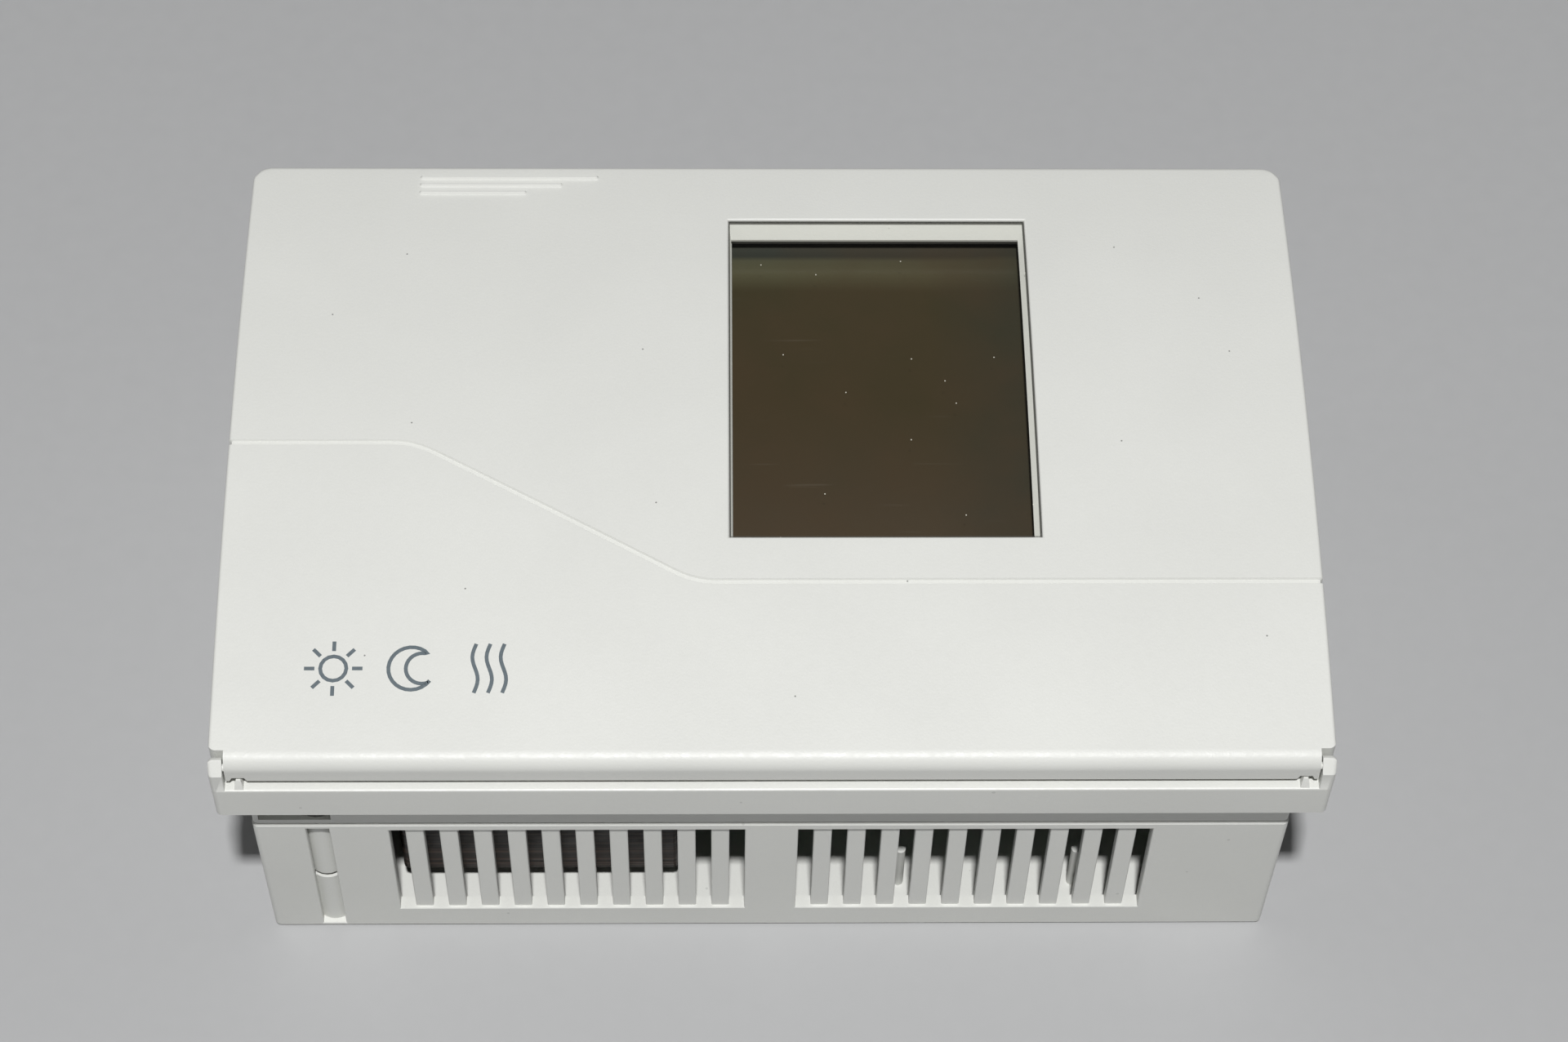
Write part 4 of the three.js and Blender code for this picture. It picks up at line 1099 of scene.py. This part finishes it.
def finish_moulding(piece, node_name):
    """Shading of a moulding made by boolean cuts, and hiding of the node it replaces."""
    smooth(piece.data, MOULDING_SHARP_ANGLE)
    level_normals(piece)
    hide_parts(node_name)


def build_bezel(material):
    bezel = new_piece("bezel_moulding", bezel_ring(), material, "housing")
    added, holes = bmesh.new(), bmesh.new()
    for side in (-1, 1):
        add_bezel_details(added, side)
        add_rod(holes, HINGE_Y, HINGE_Z, PIN_HOLE, *(side * x for x in PIN_HOLE_ENDS))
    combine(bezel, added, "UNION")
    combine(bezel, holes, "DIFFERENCE")
    for turn in (1, -1):
        cut_clamp_ways(bezel, turn)
    finish_moulding(bezel, "front_bezel")


def base_half(z):
    """Half sizes of the tub at height z: it tapers in a little towards the rear."""
    taper = BASE_DRAFT * (1 - z / BASE_HIGH.z)
    return BASE_HIGH.x - taper, BASE_HIGH.y - taper


def tub():
    """Open tub with rounded edges."""
    top = BASE_HIGH.z
    rings = []
    for inset, z in ((BASE_SOFT, 0), (0.3 * BASE_SOFT, 0.3 * BASE_SOFT), (0, BASE_SOFT),
                     (0, top - BASE_RIM_SOFT), (BASE_RIM_SOFT, top)):
        rings.append(inset_ring(base_half(z), CORNER, inset, z))
    half_x, half_y = BASE_HIGH.x - BASE_WALL, BASE_HIGH.y - BASE_WALL
    rings.append(rounded_ring(half_x + BASE_INNER_SOFT, half_y + BASE_INNER_SOFT,
                              BASE_RIM_CORNER, top))
    rings += [rounded_ring(half_x, half_y, BASE_INNER_CORNER, z)
              for z in (top - BASE_RIM_SOFT, BASE_WALL)]
    builder = bmesh.new()
    loft(builder, rings)
    return builder


def add_wall_cut(builder, turn, span_x, span_z, stations):
    """Opening through a long wall; a station is its depth, extra width and extra height."""
    rings = []
    for depth, wider, higher in stations:
        x0, x1 = span_x[0] - wider, span_x[1] + wider
        z0, z1 = span_z[0] - higher, span_z[1] + higher
        rings.append([(turn * x, turn * (-base_half(z)[1] + depth), z)
                      for x, z in ((x0, z0), (x1, z0), (x1, z1), (x0, z1))])
    loft(builder, rings)


def add_vents(pockets, slots, turn, side):
    """One group of slots, in a shallow pocket of the wall."""
    pocket = ((-MM, CUT_SOFT, CUT_SOFT), (0, CUT_SOFT, CUT_SOFT), (CUT_SOFT, 0, 0),
              (VENT_POCKET, 0, 0))
    slot = ((VENT_POCKET - 0.05 * MM, CUT_SOFT, 0), (VENT_POCKET, CUT_SOFT, 0),
            (VENT_POCKET + CUT_SOFT, 0, 0), (BASE_WALL + MM, 0, 0))
    span = (VENT_COUNT - 1) * VENT_PITCH + VENT_WIDTH
    group = sorted((side * VENT_START, side * (VENT_START + span)))
    add_wall_cut(pockets, turn, group, VENT_HEIGHTS, pocket)
    for index in range(VENT_COUNT):
        near = side * (VENT_START + index * VENT_PITCH)
        opening = sorted((near, near + side * VENT_WIDTH))
        add_wall_cut(slots, turn, opening, VENT_HEIGHTS, slot)


def build_base(material):
    base = new_piece("rear_tub", tub(), material, "housing")
    pockets, slots, rest, posts, bores = (bmesh.new() for _ in range(5))
    clamp_slot = ((-MM, CUT_SOFT, CUT_SOFT), (0, CUT_SOFT, CUT_SOFT), (CUT_SOFT, 0, 0),
                  (CLAMP_SLOT_DEPTH, 0, 0))
    for turn in (1, -1):
        for side in (1, -1):
            add_vents(pockets, slots, turn, side)
        add_wall_cut(slots, turn, CLAMP_SLOT, CLAMP_SLOT_HEIGHTS, clamp_slot)
        add_post(rest, turn * CLAMP, CLAMP_RELIEF, POST_TOP, BASE_HIGH.z + MM)
        add_post(rest, (turn * -WALL_HOLE[0], 0), WALL_HOLE[1], -MM, BASE_WALL + MM)
        add_post(posts, turn * CLAMP, CLAMP_POST, MM, POST_TOP)
        add_post(posts, turn * UNIT_SCREW, UNIT_POST, MM, UNIT_POST_TOP)
        add_post(bores, turn * CLAMP, CLAMP_BORE, CLAMP_BORE_BACK, POST_TOP + MM)
        add_post(bores, turn * UNIT_SCREW, UNIT_BORE, UNIT_BORE_BACK, UNIT_POST_TOP + MM)
    loft(rest, [rounded_ring(*CABLE_ENTRY, z, centre=(0, CABLE_ENTRY_Y))
                for z in (-MM, BASE_WALL + MM)])
    for place in PIN_POSTS:
        add_post(posts, place, PIN_POST_RADIUS, MM, PIN_POST_TOP, segments=20)
    for cut in (pockets, slots, rest):
        combine(base, cut, "DIFFERENCE")
    combine(base, posts, "UNION")
    combine(base, bores, "DIFFERENCE")
    finish_moulding(base, "base_housing")


def build_pane(material):
    """The window's pane: a thin plate that follows the crown."""
    builder = bmesh.new()
    chamfer = 0.1 * MM
    columns = [PANE_LOW.x, PANE_LOW.x + chamfer, PANE_HIGH.x - chamfer, PANE_HIGH.x]
    rows = [PANE_LOW.y, PANE_LOW.y + chamfer, PANE_HIGH.y - chamfer, PANE_HIGH.y]
    upper, lower = [], []
    for x in columns:
        upper.append([])
        lower.append([])
        for y in filled(rows, 2 * MM):
            at_edge = x in (columns[0], columns[-1]) or y in (rows[0], rows[-1])
            height = crown_height(y, PANE_SINK) - (chamfer if at_edge else 0.0)
            upper[-1].append(builder.verts.new((x, y, height)))
            lower[-1].append(builder.verts.new((x, y, crown_height(y, PANE_SINK + PANE_THICK))))
    fill_grids(builder, upper, lower)
    bridge(builder, rim_of(upper), rim_of(lower))
    pane = new_piece("clear_window", builder, material, "cover")
    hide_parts("window_pane")


def knob_profile(back, top, radius):
    """Stations (height, radius, share of the flutes): bore, skirt, grip and dished cap."""
    skirt = ((0, 0.2, 0), (0.2, 0, 0), (1.3, 0, 0), (1.5, 0.1, 0), (1.6, 0.35, 0),
             (1.65, 1.9, 0), (1.85, 2.2, 0.9))
    cap = ((0.5, 2.45, 1), (0.2, 2.6, 0.8), (0, 3.0, 0.3), (0, 3.8, 0), (0.25, 4.3, 0))
    stations = [(top - MM, KNOB_BORE, 0), (back, KNOB_BORE, 0)]
    stations += [(back + rise * MM, radius - inset * MM, flute) for rise, inset, flute in skirt]
    stations += [(top - drop * MM, radius - inset * MM, flute) for drop, inset, flute in cap]
    return [*stations, (top - 0.25 * MM, MM, 0)]


def build_knob(material, paint):
    """Fluted setpoint knob with a painted pointer line and a bore for its shaft."""
    low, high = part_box("setpoint_knob")
    x, y = (low.x + high.x) / 2, (low.y + high.y) / 2
    radius = high.x - x
    top = high.z - POINTER_RISE
    rings = []
    for z, size, flute in knob_profile(low.z, top, radius):
        ring = []
        for part in range(KNOB_SIDES):
            turn = 2 * math.pi * part / KNOB_SIDES
            wave = (0.5 - 0.5 * math.cos(FLUTES * turn)) ** 2
            reach = size - flute * FLUTE_DEPTH * wave
            ring.append((x + reach * math.cos(turn), y + reach * math.sin(turn), z))
        rings.append(ring)
    builder = bmesh.new()
    loft(builder, rings)
    knob = new_piece("fluted_knob", builder, material, "knob")
    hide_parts("setpoint_knob")
    pointer = bmesh.new()
    half_x, half_y = POINTER_HALF
    levels = ((0, top - POINTER_SUNK), (0, high.z - POINTER_SOFT), (POINTER_SOFT, high.z))
    loft(pointer, [rounded_ring(half_x - inset, half_y - inset, half_x / 2 - inset, z,
                                (x, y + radius - POINTER_INSET)) for inset, z in levels])
    new_piece("knob_pointer", pointer, paint, "knob")


# ---------------------------------------------------------- carried-over nodes

def soften(node):
    """Rounds the sharp edges of a CAD node by modifiers, which leave its mesh alone."""
    weld = node.modifiers.new("weld", "WELD")
    weld.merge_threshold = 0.002 * MM
    flat = node.modifiers.new("flat", "DECIMATE")
    flat.decimate_type = "DISSOLVE"
    flat.angle_limit = math.radians(0.4)
    rounding = node.modifiers.new("rounding", "BEVEL")
    rounding.width = NODE_ROUNDING
    rounding.segments = 2
    rounding.limit_method = "ANGLE"
    rounding.angle_limit = math.radians(50)
    rounding.use_clamp_overlap = False
    level_normals(node, keep_sharp=False)


def finish_node(node, material):
    node.data.materials.clear()
    node.data.materials.append(material)
    soften(node)


# ------------------------------------------------------------- stage and light

CAMERA_LENS = 83.44
CAMERA_PLACE = (-0.0076, -0.2747, 0.4516)
CAMERA_TURNS = (("Z", -2.01), ("X", 33.28), ("Z", 1.64))
FLOOR_SIZE = 1.5
FLOOR_DROP = 0.1 * MM


def make_camera():
    data = bpy.data.cameras.new("camera")
    data.sensor_width = 36
    data.lens = CAMERA_LENS
    data.clip_start = 0.01
    camera = link(bpy.data.objects.new("camera", data))
    place = Matrix.Translation(CAMERA_PLACE)
    for axis, degrees in CAMERA_TURNS:
        place = place @ Matrix.Rotation(math.radians(degrees), 4, axis)
    camera.matrix_world = place
    bpy.context.scene.camera = camera


def make_floor(material):
    builder = bmesh.new()
    bmesh.ops.create_grid(builder, x_segments=24, y_segments=24, size=FLOOR_SIZE,
                          matrix=Matrix.Translation((0, 0, -FLOOR_DROP)))
    floor = mesh_object("floor", builder)
    floor.data.materials.append(material)


def soft_light(name, azimuth, elevation, distance, size, power):
    """Square soft box aimed at the object from the given direction."""
    data = bpy.data.lights.new(name, "AREA")
    data.shape = "SQUARE"
    data.size = size
    data.energy = power
    light = link(bpy.data.objects.new(name, data))
    turn, rise = math.radians(azimuth), math.radians(elevation)
    direction = Vector((math.cos(rise) * math.cos(turn), math.cos(rise) * math.sin(turn),
                        math.sin(rise)))
    light.location = direction * distance + Vector((0, 0, 0.03))
    light.rotation_euler = direction.to_track_quat("Z", "Y").to_euler()


def make_world(strength):
    world = bpy.data.worlds.new("studio")
    world.use_nodes = True
    background = world.node_tree.nodes["Background"]
    background.inputs["Color"].default_value = (0.97, 0.98, 1.0, 1)
    background.inputs["Strength"].default_value = strength
    bpy.context.scene.world = world


# ------------------------------------------------------------------ printed marks

def add_stroke(builder, points, height, width, closed=False):
    """Ribbon of ink along a line of (x, y) points; height gives the surface at (x, y)."""
    path = [Vector(point) for point in points]
    count = len(path)
    ring = []
    for index, point in enumerate(path):
        before = path[index - 1] if closed or index else point
        after = path[(index + 1) % count] if closed or index + 1 < count else point
        along = (after - before).normalized()
        across = Vector((-along.y, along.x)) * width / 2
        if not closed and index in (0, count - 1):
            point = point + along * (width / 2 if index else -width / 2)
        left, right = point - across, point + across
        ring.append([(spot.x, spot.y, height(spot.x, spot.y) + rise)
                     for spot, rise in ((left, PRINT_RISE), (right, PRINT_RISE),
                                        (right, -PRINT_RISE), (left, -PRINT_RISE))])
    loft(builder, ring, closed)


def arc(radius, start, end, steps=20, x=0.0):
    """Points along an arc round (x, 0), angles in degrees."""
    turns = [math.radians(start + (end - start) * part / steps) for part in range(steps + 1)]
    return [(x + radius * math.cos(turn), radius * math.sin(turn)) for turn in turns]


def ray(part):
    """One of the sun's eight rays."""
    turn = math.pi / 4 * part
    return [(reach * math.cos(turn), reach * math.sin(turn)) for reach in (0.38, 0.5)]


def wave(column):
    """One rising wavy line of the sign for warm air."""
    return [(0.26 * column + 0.055 * math.sin(2 * math.pi * part / 12), (part / 12 - 0.5) * 0.9)
            for part in range(13)]


# Signs, each as its closed and its open strokes, in units of the sign's size.
SIGNS = {
    "sun": ([arc(0.24, 0, 337.5, 15)], [ray(part) for part in range(8)]),
    "moon": ([arc(0.42, 55, 325) + arc(0.30, 290, 70, x=0.2)], []),
    "heat": ([], [wave(column) for column in (-1, 0, 1)]),
    "clock": ([arc(0.45, 0, 345, 23)], [[(0, 0.28), (0, 0), (0.22, 0)]]),
    "power": ([], [arc(0.4, 125, 415), [(0, 0.06), (0, 0.5)]]),
    "up": ([], [[(-0.36, -0.22), (0, 0.3), (0.36, -0.22)]]),
    "down": ([], [[(-0.36, 0.22), (0, -0.3), (0.36, 0.22)]]),
    "plus": ([], [[(-0.38, 0), (0.38, 0)], [(0, -0.38), (0, 0.38)]]),
    "minus": ([], [[(-0.38, 0), (0.38, 0)]]),
}

KEY_SIGNS = {
    "auto": "clock", "comfort": "sun", "reduced": "moon", "standby": "power",
    "line_up": "up", "line_down": "down", "value_plus": "plus", "value_minus": "minus",
}


def draw_sign(builder, sign, centre, size, height, width):
    """One of the SIGNS round a centre (x, y)."""
    for strokes, closed in zip(SIGNS[sign], (True, False)):
        for stroke in strokes:
            points = [(centre[0] + size * x, centre[1] + size * y) for x, y in stroke]
            add_stroke(builder, points, height, width, closed)


def level(z):
    """A flat surface for add_stroke."""
    return lambda x, y: z


def middle_of(node_name):
    low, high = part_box(node_name)
    return (low + high) / 2


def print_on_keys(material):
    """One sign on each key, riding with the key."""
    for key, sign in KEY_SIGNS.items():
        top = level(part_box(f"key_{key}")[1].z)
        builder = bmesh.new()
        draw_sign(builder, sign, middle_of(f"key_{key}"), KEY_SIGN, top, KEY_LINE)
        new_piece(f"{key}_key_print", builder, material, f"{key}_key")


def print_scale(builder, panel):
    """Scale round the setpoint knob, with signs at its top and its two ends."""
    knob = middle_of("setpoint_knob")
    for mark in range(SCALE_MARKS):
        turn = math.radians(SCALE_START - SCALE_STEP * mark)
        reach = LONG_MARK if mark % 4 == 0 else SHORT_MARK
        line = [(knob.x + span * math.cos(turn), knob.y + span * math.sin(turn))
                for span in (SCALE_RADIUS, SCALE_RADIUS + reach)]
        add_stroke(builder, line, panel, SCALE_LINE)
    for sign, x, y, size in SCALE_SIGNS:
        draw_sign(builder, sign, (knob.x + x, knob.y + y), size, panel, KEY_LINE)


def print_key_frame(builder, panel, first, last):
    """Rounded line round a group of keys, given its first and last key."""
    low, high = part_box(first)[0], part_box(last)[1]
    half_x, half_y = (high.x - low.x) / 2, (high.y - low.y) / 2
    ring = rounded_ring(half_x + 1.6 * MM, half_y + 1.8 * MM, 1.8 * MM, PANEL_TOP,
                        ((low.x + high.x) / 2, (low.y + high.y) / 2), steps=5)
    add_stroke(builder, [point[:2] for point in ring], panel, SCALE_LINE, closed=True)


def print_on_panel(material):
    """Scale, frames round the key groups, and signs beside the lamps and above the slider."""
    builder = bmesh.new()
    panel = level(PANEL_TOP)
    print_scale(builder, panel)
    print_key_frame(builder, panel, "key_auto", "key_standby")
    print_key_frame(builder, panel, "key_line_down", "key_value_plus")
    for number, sign in enumerate(("heat", "sun", "moon"), 1):
        low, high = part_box(f"signal_lamp_{number}")
        beside = (high.x + 4 * MM, (low.y + high.y) / 2)
        draw_sign(builder, sign, beside, LAMP_SIGN, panel, PANEL_LINE)
    slider = middle_of("slide_switch")
    for sign, side in (("sun", -1), ("moon", 1)):
        above = (slider.x + side * 3 * MM, slider.y + 5 * MM)
        draw_sign(builder, sign, above, KEY_SIGN, panel, PANEL_LINE)
    new_piece("panel_print", builder, material, "housing")


def print_on_cover(material):
    """Small row of signs low on the cover."""
    builder = bmesh.new()

    def crown(_, y):
        return crown_height(y)

    for sign, x in zip(("sun", "moon", "heat"), COVER_SIGN_X):
        draw_sign(builder, sign, (x, COVER_SIGN_Y), COVER_SIGN, crown, COVER_LINE)
    new_piece("cover_print", builder, material, "cover")


# -------------------------------------------------------------------- assembly

OFF_WHITE = (0.74, 0.745, 0.71)
housing_plastic = moulded_plastic("housing_plastic", OFF_WHITE, (0.40, 0.50))
cover_plastic = moulded_plastic("cover_plastic", OFF_WHITE, (0.40, 0.50), dusty=True)
key_plastic = moulded_plastic("key_plastic", (0.26, 0.29, 0.31), (0.45, 0.55))
ink = printed_ink("dark_ink", (0.10, 0.125, 0.14))
pale_ink = printed_ink("pale_ink", (0.62, 0.63, 0.62))

SLOT_MATERIALS = {
    "housing_plastic": housing_plastic,
    "panel_plastic": moulded_plastic("panel_plastic", (0.76, 0.77, 0.75), (0.5, 0.6)),
    "display_glass": liquid_crystal(),
    "diffuser": moulded_plastic("diffuser", (0.8, 0.8, 0.78), (0.5, 0.65)),
    "key_plastic": key_plastic,
    "dark_plastic": moulded_plastic("dark_plastic", (0.022, 0.023, 0.026), (0.4, 0.55)),
    "rubber": soft_rubber(),
    "board": circuit_board(),
    "relay_plastic": moulded_plastic("relay_plastic", (0.018, 0.02, 0.026), (0.3, 0.42)),
    "steel": brushed_metal("steel", (0.62, 0.62, 0.61)),
    "brass": brushed_metal("brass", (0.72, 0.52, 0.22)),
    "lamp": lamp_lens(),
    "terminal_plastic": moulded_plastic("terminal_plastic", (0.12, 0.21, 0.14), (0.42, 0.55)),
}
REPLACED = ("front_cover", "window_pane", "front_bezel", "base_housing", "setpoint_knob")

build_cover(cover_plastic)
build_pane(clear_pane())
build_bezel(housing_plastic)
build_base(housing_plastic)
build_knob(key_plastic, pale_ink)
print_on_cover(ink)
print_on_panel(ink)
print_on_keys(pale_ink)

for node_name in sorted(set(nodes) - set(REPLACED)):
    slot_name = nodes[node_name].data.materials[0].name
    finish_node(nodes[node_name], SLOT_MATERIALS[slot_name])
nodes["transformer"].data.materials[0] = laminated_iron()

make_camera()
make_floor(pale_floor())
make_world(0.055)
soft_light("key", azimuth=-90, elevation=68.5, distance=1.2, size=0.06, power=13.9)
soft_light("fill", azimuth=165, elevation=35, distance=1.4, size=0.8, power=0.8)
bpy.context.scene.view_settings.view_transform = "Standard"
